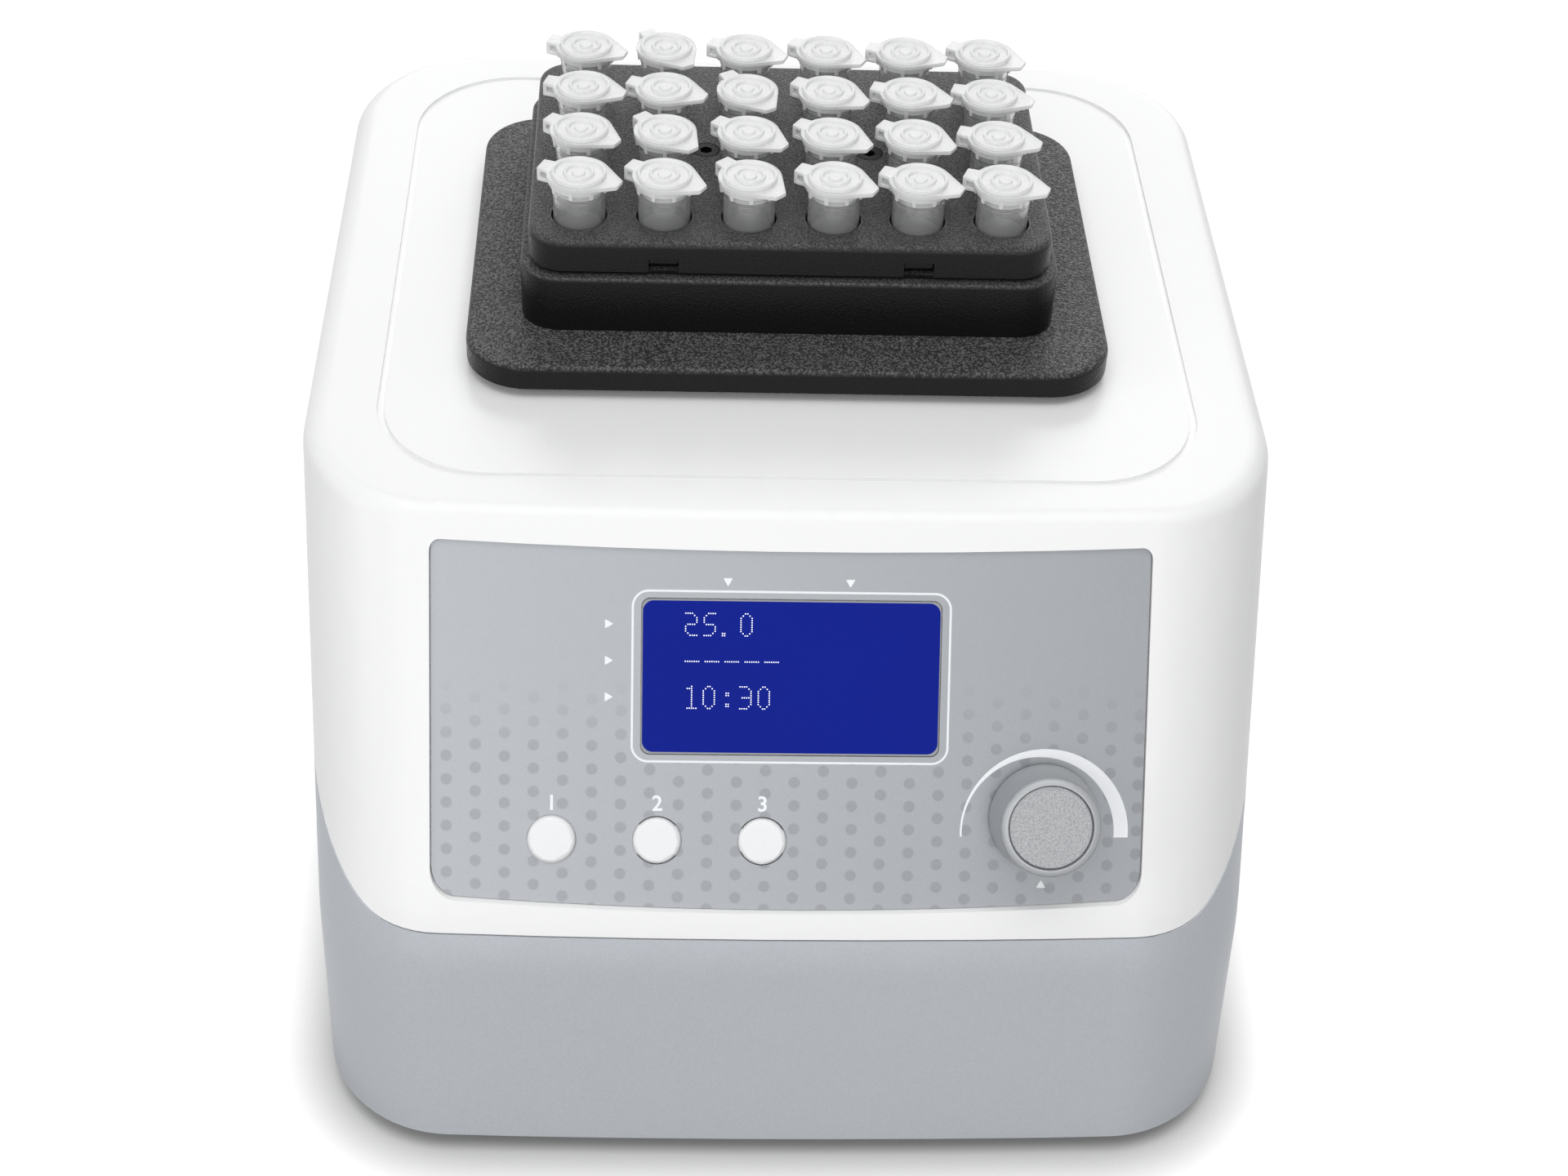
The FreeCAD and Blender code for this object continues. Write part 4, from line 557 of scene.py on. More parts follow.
def grained_black(name, base, grain, depth, rough, grain_and_glint_contrast):
    """Black moulding with a pebbled grain on top and smoother sides, with painted light and shade: the top
    painted lighter and the sides darker, and the pebbles flecked light and dark, partly grain tone and partly
    painted glint.
    """
    finish = Finish(name, Specular_IOR_Level=0.2)
    normal = finish.node("ShaderNodeTexCoord").outputs["Normal"]
    top = finish.within(finish.parts(normal)[2], 0.25, 0.9)
    pebbles = finish.cells(grain)
    creases = finish.noise(grain * 1.3, 5)
    cloud = finish.noise(grain * 50, 3)
    height = finish.math("ADD", pebbles, finish.math("MULTIPLY", creases, 1.4))
    # Flecks of the pebbles: partly grain tone, partly painted glint
    grain_and_painted_glint = finish.mix(finish.within(height, 0.85, 1.35), toned(base, grain_and_glint_contrast), toned(base, 1 / grain_and_glint_contrast))
    painted_lit_top = finish.mix(finish.math("MULTIPLY", cloud, 0.4), grain_and_painted_glint, toned(base, 1.4))
    # Painted shade on the sides, a tenth of the base colour, and painted light on the lighter top
    finish.set("Base Color", finish.mix(top, toned(base, 0.1), painted_lit_top))
    dull = finish.ramp(creases, 0.3, 0.7, rough - 0.1, rough + 0.1)
    gloss = finish.ramp(top, 0.0, 1.0, 0.14, 0.0)
    finish.set("Roughness", finish.math("SUBTRACT", dull, gloss))
    relief = finish.math("MULTIPLY", height, finish.math("MAXIMUM", top, 0.2))
    finish.set("Normal", finish.bump(relief, depth))
    return finish.material


def clear_wall():
    """Slightly milky polypropylene, a little uneven in its wall."""
    finish = Finish("clear_wall", IOR=1.45, Transmission_Weight=0.86)
    waves = finish.noise(0.006, 2)
    finish.set("Base Color", finish.mix(waves, (0.90, 0.905, 0.91), (0.96, 0.963, 0.966)))
    finish.set("Roughness", finish.ramp(waves, 0.3, 0.7, 0.0, 0.03))
    finish.set("Normal", finish.bump(waves, 0.00008, 0.1))
    return finish.material


def frosted_lid():
    """Milky, partly see-through polypropylene with a satin surface."""
    finish = Finish("frosted_lid", IOR=1.45, Alpha=0.72)
    cloud = finish.noise(0.003, 3)
    fine = finish.noise(0.0008, 3)
    finish.set("Base Color", finish.mix(cloud, (0.90, 0.903, 0.906), (0.96, 0.962, 0.964)))
    finish.set("Roughness", finish.ramp(fine, 0.3, 0.7, 0.24, 0.36))
    finish.set("Normal", finish.bump(fine, 0.00001, 0.3))
    return finish.material


def circuit_board():
    """Green board with copper tracks showing through its lacquer."""
    finish = Finish("circuit_board", Roughness=0.35)
    tracks = finish.node("ShaderNodeTexBrick")
    finish.wire(finish.object_place, tracks.inputs["Vector"])
    tracks.inputs["Scale"].default_value = 90
    tracks.inputs["Mortar Size"].default_value = 0.03
    cloud = finish.noise(0.01, 3)
    green = finish.mix(cloud, (0.010, 0.085, 0.030), (0.016, 0.130, 0.045))
    finish.set("Base Color", finish.mix(tracks.outputs["Fac"], green, (0.05, 0.24, 0.08)))
    finish.set("Normal", finish.bump(tracks.outputs["Fac"], 0.00004, 0.6))
    return finish.material


def glass_fuse():
    """Glass cartridge with a metal cap at each end."""
    low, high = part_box("fuse")
    finish = Finish("glass_fuse", Roughness=0.1)
    along = finish.parts(finish.turned(middle("fuse")))[1]
    cap = finish.within(finish.math("ABSOLUTE", along), *((high.y - low.y) * share for share in FUSE_CAP))
    finish.set("Base Color", finish.mix(cap, (0.75, 0.80, 0.80), (0.72, 0.70, 0.66)))
    finish.set("Metallic", cap)
    finish.set("Normal", finish.bump(finish.noise(0.002, 2), 0.00003, 0.3))
    return finish.material


# Modelling steps


def deselect_all():
    """Leave any open piece, with nothing selected."""
    if bpy.context.object and bpy.context.object.mode != "OBJECT":
        bpy.ops.object.mode_set(mode="OBJECT")
    bpy.ops.object.select_all(action="DESELECT")


def pick(piece):
    """Make one object the only selected one."""
    deselect_all()
    piece.select_set(True)
    bpy.context.view_layer.objects.active = piece
    return piece


def edit(piece):
    """Open a piece for editing with nothing in it selected."""
    pick(piece)
    bpy.ops.object.mode_set(mode="EDIT")
    bpy.ops.mesh.select_all(action="DESELECT")


def choose(test, kind="FACE"):
    """In the piece that is open, select the faces or vertices that pass a test."""
    piece = bpy.context.edit_object
    bpy.ops.mesh.select_mode(type=kind)
    mesh = bmesh.from_edit_mesh(piece.data)
    group = mesh.faces if kind == "FACE" else mesh.verts
    chosen = 0
    for item in group:
        item.select = bool(test(item))
        chosen += item.select
    mesh.select_flush_mode()
    bmesh.update_edit_mesh(piece.data)
    if not chosen:
        raise RuntimeError(f"nothing to select on {piece.name}")


def facing(*way):
    """A test for the faces that point one way."""
    return lambda face: face.normal.dot(way) > LEAST_FACING


def close():
    """Leave the piece that is open."""
    bpy.ops.object.mode_set(mode="OBJECT")


def tidy_shell():
    """In the piece that is open, merge what meets and turn its faces outwards."""
    bpy.ops.mesh.select_mode(type="FACE")
    bpy.ops.mesh.select_all(action="SELECT")
    bpy.ops.mesh.remove_doubles(threshold=MERGE_DISTANCE)
    bpy.ops.mesh.normals_make_consistent(inside=False)


def add_modifier(piece, kind, **settings):
    """Add a modifier and apply it."""
    pick(piece)
    made = piece.modifiers.new(kind.title(), kind)
    for setting, value in settings.items():
        setattr(made, setting, value)
    bpy.ops.object.modifier_apply(modifier=made.name)


def smooth(piece, angle=SMOOTH_ANGLE):
    """Shade a piece smoothly, with its sharp edges kept."""
    pick(piece)
    bpy.ops.object.shade_smooth_by_angle(angle=angle)
    add_modifier(piece, "WEIGHTED_NORMAL", keep_sharp=True, weight=80)


def settle(piece):
    """Put a piece's place into its mesh."""
    pick(piece)
    bpy.ops.object.transform_apply(location=True, rotation=True, scale=True)
    return piece


def give(piece, body, slot, material, *nodes):
    """Paint a finished piece, fix it to its body and hide the nodes that it stands for."""
    piece.data.materials.clear()
    piece.data.materials.append(material)
    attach(piece, body)
    if nodes:
        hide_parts(*nodes)
    return piece


def own_copy(piece, name):
    """A copy with its own mesh."""
    made = bpy.data.objects.new(name, piece.data.copy())
    bpy.context.scene.collection.objects.link(made)
    return made


def dressed_copy(node, name, slot, material, angle=SMOOTH_ANGLE):
    """A merged copy of a node, smoothly shaded, that stands for it."""
    source = frame["nodes"][node]
    piece = own_copy(source, name)
    edit(piece)
    bpy.ops.mesh.select_all(action="SELECT")
    bpy.ops.mesh.remove_doubles(threshold=MERGE_DISTANCE)
    close()
    if piece.data.has_custom_normals:
        bpy.ops.mesh.customdata_custom_splitnormals_clear()
    smooth(piece, angle)
    return give(piece, source["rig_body"], slot, material, node)


def paint(node, material):
    """Give a node that stays its finish."""
    slots = frame["nodes"][node].data.materials
    slots.clear()
    slots.append(material)


def turned_piece(name, rings, segments, is_ring=False):
    """Draw a ring of edges through steps of radius and height, and close its ends or join them to a ring."""
    deselect_all()
    radius, height = rings[0]
    bpy.ops.mesh.primitive_circle_add(vertices=segments, radius=radius, enter_editmode=True,
                                      fill_type="NOTHING" if is_ring else "NGON")
    piece = bpy.context.object
    piece.name = name
    bpy.ops.transform.translate(value=(0, 0, height))
    bpy.ops.mesh.select_mode(type="EDGE")
    for next_radius, next_height in rings[1:] + (rings[:1] if is_ring else []):
        rise = next_height - height
        bpy.ops.mesh.extrude_edges_move(TRANSFORM_OT_translate={"value": (0, 0, rise)})
        factor = next_radius / radius
        bpy.ops.transform.resize(value=(factor, factor, 1), center_override=(0, 0, next_height))
        radius, height = next_radius, next_height
    if not is_ring:
        bpy.ops.mesh.edge_face_add()
    tidy_shell()
    close()
    return piece


def cut_out(piece, cutter):
    """Take one shape out of another and drop the tool."""
    add_modifier(piece, "BOOLEAN", operation="DIFFERENCE", object=cutter, solver="EXACT")
    bpy.data.objects.remove(cutter)


def join(piece, *others):
    """Make several shells one piece."""
    pick(piece)
    for other in others:
        other.select_set(True)
    bpy.ops.object.join()
    return piece


def plain_sign(name, sign, **shape):
    """A raised sign at the origin, facing upwards."""
    deselect_all()
    bpy.ops.object.text_add()
    piece = bpy.context.object
    piece.name = name
    piece.data.body = sign
    piece.data.align_x = "CENTER"
    piece.data.align_y = "CENTER"
    for choice, value in shape.items():
        setattr(piece.data, choice, value)
    bpy.ops.object.convert(target="MESH")
    return piece


def lay(piece, place, turn):
    """Put a sign at a place, turned to lie on the surface there."""
    piece.matrix_world = Matrix.Translation(place) @ turn.to_4x4()
    settle(piece)
    edit(piece)
    tidy_shell()
    close()


def surface_at(piece, start, way):
    """Where a line meets a piece, and the way out of it there."""
    hit, place, normal, _ = piece.ray_cast(start, way)
    if not hit:
        raise RuntimeError(f"{piece.name} isn't in front of {tuple(start)}")
    return place, normal


def on_panel(piece, across, up):
    """Where a piece's face lies at a place on the panel, measured from the middle of the display."""
    above = SCREEN_MIDDLE + Vector((across, 0, 0)) + UPWARD * up + OUTWARD * STAND_OFF
    return surface_at(piece, above, -OUTWARD)[0]


def tube_axis(node):
    """Foot of a tube's axis."""
    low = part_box(node)[0]
    foot = [vertex.co for vertex in frame["nodes"][node].data.vertices if vertex.co.z < low.z + CLOSE]
    middle_of_foot = (Vector(map(min, *foot)) + Vector(map(max, *foot))) / 2
    return Vector((middle_of_foot.x, middle_of_foot.y, low.z))


# Pieces


class HEATER_OT_case(bpy.types.Operator):
    """Finish the white upper case, the silver lower case, the feet and the case screws"""
    bl_idname = "heater.case"
    bl_label = "Case"

    def execute(self, context):
        settings = context.scene.heater_case
        white = moulded("white_moulding", settings.white, settings.grain, 0.000012, 0.34, 0.05, 0.015)
        silver = flaked("silver_paint", settings.silver, settings.flake, 0.42, 0.06, Metallic=0.3).material
        dressed_copy("upper_case", "white_shell", "white_case", white)
        dressed_copy("lower_case", "silver_shell", "silver_case", silver)
        rubber = moulded("foot_rubber", (0.035, 0.035, 0.037), 0.0005, 0.00004, 0.7, 0.1)
        dressed_copy("rubber_feet", "soft_feet", "rubber", rubber)
        steel = metal("screw_steel", (0.58, 0.58, 0.60), 0.3)
        dressed_copy("case_screws", "base_screws", "steel", steel)
        return {"FINISHED"}


class HEATER_OT_panel(bpy.types.Operator):
    """Finish the panel and its print, the display with its figures and the three keys"""
    bl_idname = "heater.panel"
    bl_label = "Control panel"

    def execute(self, context):
        settings = context.scene.heater_panel
        overlay = dressed_copy("control_panel", "printed_overlay", "silver_panel", printed_panel(settings))
        window = dressed_copy("display_window", "blue_window", "display", lit_screen(settings))
        self.figures(settings, window)
        white = moulded("key_white", (0.86, 0.868, 0.882), 0.0004, 0.000008, 0.3, 0.05, 0.01)
        ink = moulded("white_ink", settings.ink, 0.0003, 0.000006, 0.4, 0.05, 0.02)
        for number, key in enumerate(("program", "temperature", "time"), start=1):
            self.key(settings, f"{key}_button", f"{key}_key", white)
            self.key_number(settings, overlay, number, f"{key}_button", ink)
        self.pointers(overlay, ink)
        return {"FINISHED"}

    def key(self, settings, node, name, white):
        """A key with a soft edge, close in its hole."""
        piece = dressed_copy(node, name, "white_button", white, SOFT_ANGLE)
        centre = middle(node)
        edit(piece)
        choose(lambda vertex: abs((centre - vertex.co).cross(OUTWARD).length - settings.key_radius) < CLOSE,
               "VERT")
        bpy.ops.transform.shrink_fatten(value=settings.key_fit)
        close()

    def pointers(self, overlay, ink):
        """Small plain pointers beside the display's rows, above its columns and under the knob."""
        made = []
        for across, up, turn in POINTERS:
            deselect_all()
            bpy.ops.mesh.primitive_circle_add(vertices=3, radius=POINTER_SIZE, fill_type="NGON",
                                              enter_editmode=True)
            bpy.ops.mesh.bevel(offset=POINTER_SIZE * POINTER_ROUND, segments=3, affect="VERTICES")
            bpy.ops.mesh.select_all(action="SELECT")
            bpy.ops.mesh.extrude_region_move(TRANSFORM_OT_translate={"value": (0, 0, INK_THICKNESS)})
            tidy_shell()
            close()
            piece = bpy.context.object
            place = on_panel(overlay, across, up)
            piece.matrix_world = (Matrix.Translation(place) @ PANEL_TURN.to_4x4()
                                  @ Matrix.Rotation(turn, 4, "Z"))
            made.append(settle(piece))
        piece = join(*made)
        piece.name = "panel_pointers"
        give(piece, "case", "silver_panel", ink)

    def figures(self, settings, window):
        """Rows of lit cells that spell plain numbers."""
        deselect_all()
        bpy.ops.mesh.primitive_cube_add(size=1, enter_editmode=True)
        piece = bpy.context.object
        piece.name = "display_figures"
        cell = settings.cell * CELL_FILL
        bpy.ops.transform.resize(value=(cell, cell, CELL_THICKNESS))
        choose(facing(0, 0, 1))
        bpy.ops.mesh.inset(thickness=cell * CELL_EDGE)
        bpy.ops.transform.translate(value=(0, 0, CELL_CROWN))
        close()
        piece.matrix_world = PANEL_TURN.to_4x4()
        settle(piece)
        dots = []
        for text, top in ((settings.upper_figures, FIGURE_TOPS[0]), (settings.lower_figures, FIGURE_TOPS[1])):
            dots += figure_dots(text, top, settings.cell)
        for group in range(DASHES):
            start = FIGURE_LEFT + group * DASH_PITCH * settings.cell
            dots += [(start + step * settings.cell, DASH_HEIGHT) for step in range(DASH_CELLS)]
        edit(piece)
        bpy.ops.mesh.select_all(action="SELECT")
        here = Vector((0, 0, 0))
        for across, up in dots:
            there = on_panel(window, across, up)
            bpy.ops.mesh.duplicate_move(TRANSFORM_OT_translate={"value": there - here})
            here = there
        # The cell left at the origin was only the pattern
        choose(lambda face: face.calc_center_median().length < settings.cell * 2)
        bpy.ops.mesh.delete(type="FACE")
        close()
        lit = Finish("lit_cells", Roughness=0.4, Emission_Strength=0.55)
        glow = lit.mix(lit.noise(0.002, 2), toned(settings.lit, 0.92), settings.lit)
        lit.set("Base Color", glow)
        lit.set("Emission Color", glow)
        give(piece, "case", "display", lit.material)

    def key_number(self, settings, overlay, number, node, ink):
        """A plain number printed above a key."""
        across = middle(node).x
        up = (middle(node) - SCREEN_MIDDLE).dot(UPWARD) + KEY_NUMBER_RISE
        piece = plain_sign(f"key_number_{number}", str(number), size=settings.figure_height * KEY_NUMBER_FONT,
                           **KEY_NUMBER_SHAPE)
        lay(piece, on_panel(overlay, across, up), PANEL_TURN)
        give(piece, "case", "silver_panel", ink)


def corner_dot(bars, flat, upright, side, end):
    """Cells that round, or square off, the corner between a flat and an upright bar."""
    inner = 1 if side == 0 else side - 1
    before = end + 1 if end == 0 else end - 1
    if flat in bars and upright in bars:
        return [(inner, before)]
    if flat in bars:
        return [(inner, end), (side, end)]
    if upright in bars:
        return [(side, before), (side, end)]
    return []


def figure_cells(sign):
    """Lit cells of one figure, six wide and eleven high."""
    if sign == ".":
        return [(column, row) for column in (0, 1) for row in (9, 10)]
    if sign == ":":
        return [(column, row) for column in (2, 3) for row in (3, 4, 8, 9)]
    if sign == "1":
        foot = [(column, LAST_ROW) for column in range(1, LAST_COLUMN + 1)]
        return [(3, row) for row in range(LAST_ROW)] + [(1, 1), (2, 1)] + foot
    bars = BARS[sign]
    cells = [(column, row) for bar, row in (("a", 0), ("d", LAST_ROW)) if bar in bars for column in (2, 3)]
    cells += [(column, MIDDLE_ROW) for column in (1, 2, 3, 4) if "g" in bars]
    for bar, column, rows in (("f", 0, UPPER_ROWS), ("b", LAST_COLUMN, UPPER_ROWS),
                              ("e", 0, LOWER_ROWS), ("c", LAST_COLUMN, LOWER_ROWS)):
        cells += [(column, row) for row in rows if bar in bars]
    cells += [(column, MIDDLE_ROW) for pair, column in (("fe", 0), ("bc", LAST_COLUMN))
              if set(pair) <= set(bars)]
    for flat, upright, side, end in (("a", "f", 0, 0), ("a", "b", LAST_COLUMN, 0),
                                     ("d", "e", 0, LAST_ROW), ("d", "c", LAST_COLUMN, LAST_ROW)):
        cells += corner_dot(bars, flat, upright, side, end)
    return cells


def figure_dots(text, top, cell):
    """Places of the lit cells of a number."""
    return [(FIGURE_LEFT + (place * FIGURE_PITCH + column) * cell, top - row * cell)
            for place, sign in enumerate(text) for column, row in figure_cells(sign)]


class HEATER_OT_knob(bpy.types.Operator):
    """Finish the setting knob and its grained inset"""
    bl_idname = "heater.knob"
    bl_label = "Knob"

    def execute(self, context):
        silver = flaked("knob_silver", (0.40, 0.413, 0.43), 0.00016, 0.36, 0.03, Metallic=0.2).material
        dressed_copy("knob", "knob_ring", "knob_silver", silver, SOFT_ANGLE)
        finish = Finish("knob_grain", Metallic=0.3)
        grains = finish.cells(0.00036)
        rough = finish.noise(0.0004, 4)
        height = finish.math("ADD", grains, rough)
        finish.set("Base Color", finish.mix(finish.within(height, 0.5, 1.3), (0.445, 0.455, 0.468),
                                            (0.312, 0.320, 0.332)))
        finish.set("Roughness", finish.ramp(rough, 0.3, 0.7, 0.35, 0.55))
        finish.set("Normal", finish.bump(height, 0.0001, 0.8))
        dressed_copy("knob_cap", "knob_inset", "knob_inset", finish.material)
        return {"FINISHED"}


class HEATER_OT_block(bpy.types.Operator):
    """Finish the grained plate, its seal, the skirt, the cover, the heat block and its screws"""
    bl_idname = "heater.block"
    bl_label = "Block"

    def execute(self, context):
        settings = context.scene.heater_block
        # Both finishes paint their tops lighter and their sides darker, painted light and shade, and fleck
        # their pebbles with partly painted glint
        plate = grained_black("grained_plate", settings.plate, settings.plate_grain, 0.00024, 0.44, 3.3)
        dressed_copy("block_plate", "grained_plate", "black_grain", plate)
        black = grained_black("black_moulding", settings.cover, settings.cover_grain, 0.00016, 0.42, 2.3)
        dressed_copy("block_skirt", "black_skirt", "black_plastic", black)
        dressed_copy("block_cover", "black_cover", "black_plastic", black)
        seal = moulded("seal_rubber", (0.02, 0.02, 0.02), 0.0005, 0.00003, 0.65, 0.1)
        dressed_copy("plate_seal", "plate_gasket", "seal", seal)
        aluminium = metal("block_aluminium", (0.74, 0.75, 0.77), 0.32)
        dressed_copy("heat_block", "aluminium_block", "aluminium", aluminium)
        screw = dressed_copy("block_screws", "socket_screws", "steel",
                             metal("black_steel", (0.025, 0.025, 0.027), 0.5))
        self.sockets(screw)
        self.well_edges(settings)
        return {"FINISHED"}

    def well_edges(self, settings):
        """Rounded lip of each opening in the cover."""
        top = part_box("block_cover")[1].z
        rings = [(settings.opening + out, top + rise) for out, rise in LIP_RINGS]
        lip = turned_piece("well_edges", rings, LIP_SIDES, is_ring=True)
        smooth(lip, LIP_ANGLE)
        lips = []
        for number in range(1, TUBES + 1):
            made = own_copy(lip, f"well_edge_{number:02d}")
            made.location = tube_axis(f"tube_{number:02d}").to_2d().to_3d()
            lips.append(settle(made))
        bpy.data.objects.remove(lip)
        piece = join(*lips)
        piece.name = "well_edges"
        edge = moulded("edge_black", (0.035, 0.035, 0.036), 0.0004, 0.00001, 0.26, 0.04)
        give(piece, "case", "black_plastic", edge)

    def sockets(self, piece):
        """Cut a six-sided socket into each screw head."""
        low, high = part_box("block_screws")
        for side in (low.x, high.x):
            heads = [vertex.co for vertex in piece.data.vertices
                     if abs(vertex.co.x - side) < HEAD_REACH and vertex.co.z > high.z - HEAD_DEPTH]
            centre = sum(heads, Vector()) / len(heads)
            deselect_all()
            bpy.ops.mesh.primitive_cylinder_add(vertices=6, radius=SOCKET_RADIUS, depth=SOCKET_DEPTH,
                                                location=(centre.x, centre.y, high.z), enter_editmode=True)
            choose(facing(0, 0, -1))
            bpy.ops.mesh.extrude_region_move(TRANSFORM_OT_translate={"value": (0, 0, -SOCKET_POINT)})
            bpy.ops.transform.resize(value=(SOCKET_TAPER, SOCKET_TAPER, 1))
            close()
            cut_out(piece, settle(bpy.context.object))


class HEATER_OT_tubes(bpy.types.Operator):
    """Model one closed tube and stand a copy in each well"""
    bl_idname = "heater.tubes"
    bl_label = "Tubes"

    def execute(self, context):
        settings = context.scene.heater_tube
        low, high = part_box("tube_01")
        body = self.body(settings, high.z - low.z)
        lid = self.lid(settings, high.z - low.z)
        clear, frosted = clear_wall(), frosted_lid()
        for number in range(1, TUBES + 1):
            node = f"tube_{number:02d}"
            place, turn = self.stand(node)
            for source, word, material in ((body, "wall", clear), (lid, "lid", frosted)):
                piece = own_copy(source, f"tube_{word}_{number:02d}")
                piece.location = place
                piece.rotation_euler = (0, 0, turn)
                settle(piece)
                give(piece, node, "clear_plastic", material, node)
        bpy.data.objects.remove(body)
        bpy.data.objects.remove(lid)
        return {"FINISHED"}

    def stand(self, node):
        """Foot of a tube's axis, and the way that its thumb tab points."""
        points = [vertex.co for vertex in frame["nodes"][node].data.vertices]
        axis = tube_axis(node)
        tip = max(points, key=lambda point: (point - axis).to_2d().length)
        reach = (tip - axis).to_2d()
        ends = [point for point in points if (point - axis).to_2d().length > reach.length - CLOSE]
        end = (sum(ends, Vector()) / len(ends) - axis).to_2d()
        return axis, math.atan2(end.y, end.x)

    def body(self, settings, tall):
        """Round-bottomed wall with its ring and its collar."""
        radius, bore = settings.radius, settings.radius - settings.wall
        collar = settings.collar_radius - WALL_STEP
        shoulder = tall - settings.lid_height - COLLAR_HEIGHT
        neck = tall - settings.lid_height - WALL_STEP
        ring = shoulder - WALL_RING_DROP
        rings = [(radius * out, radius * rise) for out, rise in TUBE_FOOT]
        rings += [(radius + out, ring + rise) for out, rise in WALL_RING]
        rings += [(radius, shoulder), (collar, shoulder + WALL_STEP), (collar, neck)]
        rings += [(bore + WALL_STEP, neck), (bore, neck - 2 * WALL_STEP)]
        rings += [(bore * out, radius * rise) for out, rise in BORE_FOOT]
        rings += [(bore * BORE_FLOOR, settings.wall)]
        piece = turned_piece("tube_wall", rings, settings.segments)
        smooth(piece, WALL_ANGLE)
        return piece

    def lid(self, settings, tall):
        """Flange with a pointed thumb tab, ringed cap, ribs under its edge and the folded hinge strap."""
        floor = tall - settings.lid_height
        bore = settings.radius - settings.wall
        flange = self.flange(settings, floor)
        rings = [(bore - 2 * PLUG_FIT, floor - PLUG_DEPTH), (bore - PLUG_FIT, floor - PLUG_SHOULDER)]
        rings += [(settings.radius - PLUG_FIT, floor + 2 * PLUG_FIT)]
        rings += [(settings.lid_radius * out, floor + rise) for out, rise in CAP_RINGS]
        cap = turned_piece("lid_cap", rings, settings.segments)
        piece = join(flange, cap, self.band(settings, floor), self.ribs(settings, floor),
                     self.strap(settings, floor))
        piece.name = "tube_lid"
        smooth(piece, LID_ANGLE)
        return piece

    def band(self, settings, floor):
        """Rim that grips the collar."""
        rings = [(settings.collar_radius + out, floor + rise) for out, rise in BAND_RINGS]
        return turned_piece("lid_band", rings, settings.segments, is_ring=True)

    def flange(self, settings, floor):
        """Thin plate with a raised rim, drawn out to the thumb tab."""
        deselect_all()
        thick = settings.lid_height * FLANGE_SHARE
        bpy.ops.mesh.primitive_cylinder_add(vertices=settings.segments, radius=settings.lid_radius,
                                            depth=thick, location=(0, 0, floor + thick / 2),
                                            enter_editmode=True)
        piece = bpy.context.object
        tab = (settings.tab_reach - TAB_END / 2, 0, floor + thick / 2)
        bpy.ops.mesh.primitive_cube_add(size=1, location=tab, scale=(TAB_END, settings.tab_width, thick))
        bpy.ops.mesh.select_all(action="SELECT")
        bpy.ops.mesh.convex_hull()
        bpy.ops.mesh.dissolve_limited(angle_limit=FLAT_ANGLE)
        choose(facing(0, 0, 1))
        bpy.ops.mesh.inset(thickness=RIM_WIDTH)
        bpy.ops.transform.translate(value=(0, 0, -RIM_HEIGHT))
        choose(facing(0, 0, -1))
        bpy.ops.mesh.inset(thickness=UNDER_STEP)
        bpy.ops.mesh.extrude_region_move(TRANSFORM_OT_translate={"value": (0, 0, -UNDER_STEP)})
        close()
        settle(piece)
        add_modifier(piece, "BEVEL", width=FLANGE_BEVEL, segments=2, limit_method="ANGLE",
                     angle_limit=FLANGE_BEVEL_ANGLE)
        return piece

    def ribs(self, settings, floor):
        """Ribs round the collar, under the lid's edge."""
        deselect_all()
        bpy.ops.mesh.primitive_cube_add(size=1, location=(settings.collar_radius, 0, floor - RIB_DROP),
                                        scale=RIB_SIZE, enter_editmode=True)
        piece = bpy.context.object
        choose(facing(0, 0, -1))
        bpy.ops.transform.resize(value=RIB_TAPER)
        bpy.ops.mesh.select_all(action="SELECT")
        bpy.ops.mesh.bevel(offset=RIB_BEVEL, segments=2, affect="EDGES")
        bpy.ops.mesh.select_all(action="SELECT")
        bpy.ops.mesh.spin(dupli=True, steps=settings.teeth, angle=math.tau, center=(0, 0, 0), axis=(0, 0, 1))
        tidy_shell()
        close()
        return settle(piece)

    def strap(self, settings, floor):
        """Hinge strap, folded down and back to the collar."""
        deselect_all()
        thick = STRAP_THICKNESS
        start = -settings.collar_radius + STRAP_OVERLAP
        fold = -settings.strap_reach + thick
        middle_of_strap = ((start - settings.strap_reach) / 2, 0, floor + thick / 2)
        bpy.ops.mesh.primitive_cube_add(size=1, location=middle_of_strap,
                                        scale=(start + settings.strap_reach, settings.strap_width, thick),
                                        enter_editmode=True)
        piece = bpy.context.object
        down, inward = facing(0, 0, -1), facing(1, 0, 0)

        def centre(face):
            return piece.matrix_world @ face.calc_center_median()

        choose(facing(-1, 0, 0))
        bpy.ops.transform.resize(value=(1, STRAP_TAPER, 1))
        bpy.ops.mesh.select_all(action="SELECT")
        bpy.ops.mesh.bisect(plane_co=(fold, 0, 0), plane_no=(1, 0, 0))
        choose(lambda face: down(face) and centre(face).x < fold)
        bpy.ops.mesh.extrude_region_move(TRANSFORM_OT_translate={"value": (0, 0, -STRAP_DROP)})
        bpy.ops.mesh.extrude_region_move(TRANSFORM_OT_translate={"value": (0, 0, -thick)})
        choose(lambda face: inward(face) and centre(face).z < floor - STRAP_DROP
               and centre(face).x < fold + thick)
        bpy.ops.mesh.extrude_region_move(TRANSFORM_OT_translate={"value": (start - fold, 0, 0)})
        close()
        settle(piece)
        add_modifier(piece, "BEVEL", width=STRAP_BEVEL, segments=3, limit_method="ANGLE",
                     angle_limit=STRAP_BEVEL_ANGLE)
        return piece


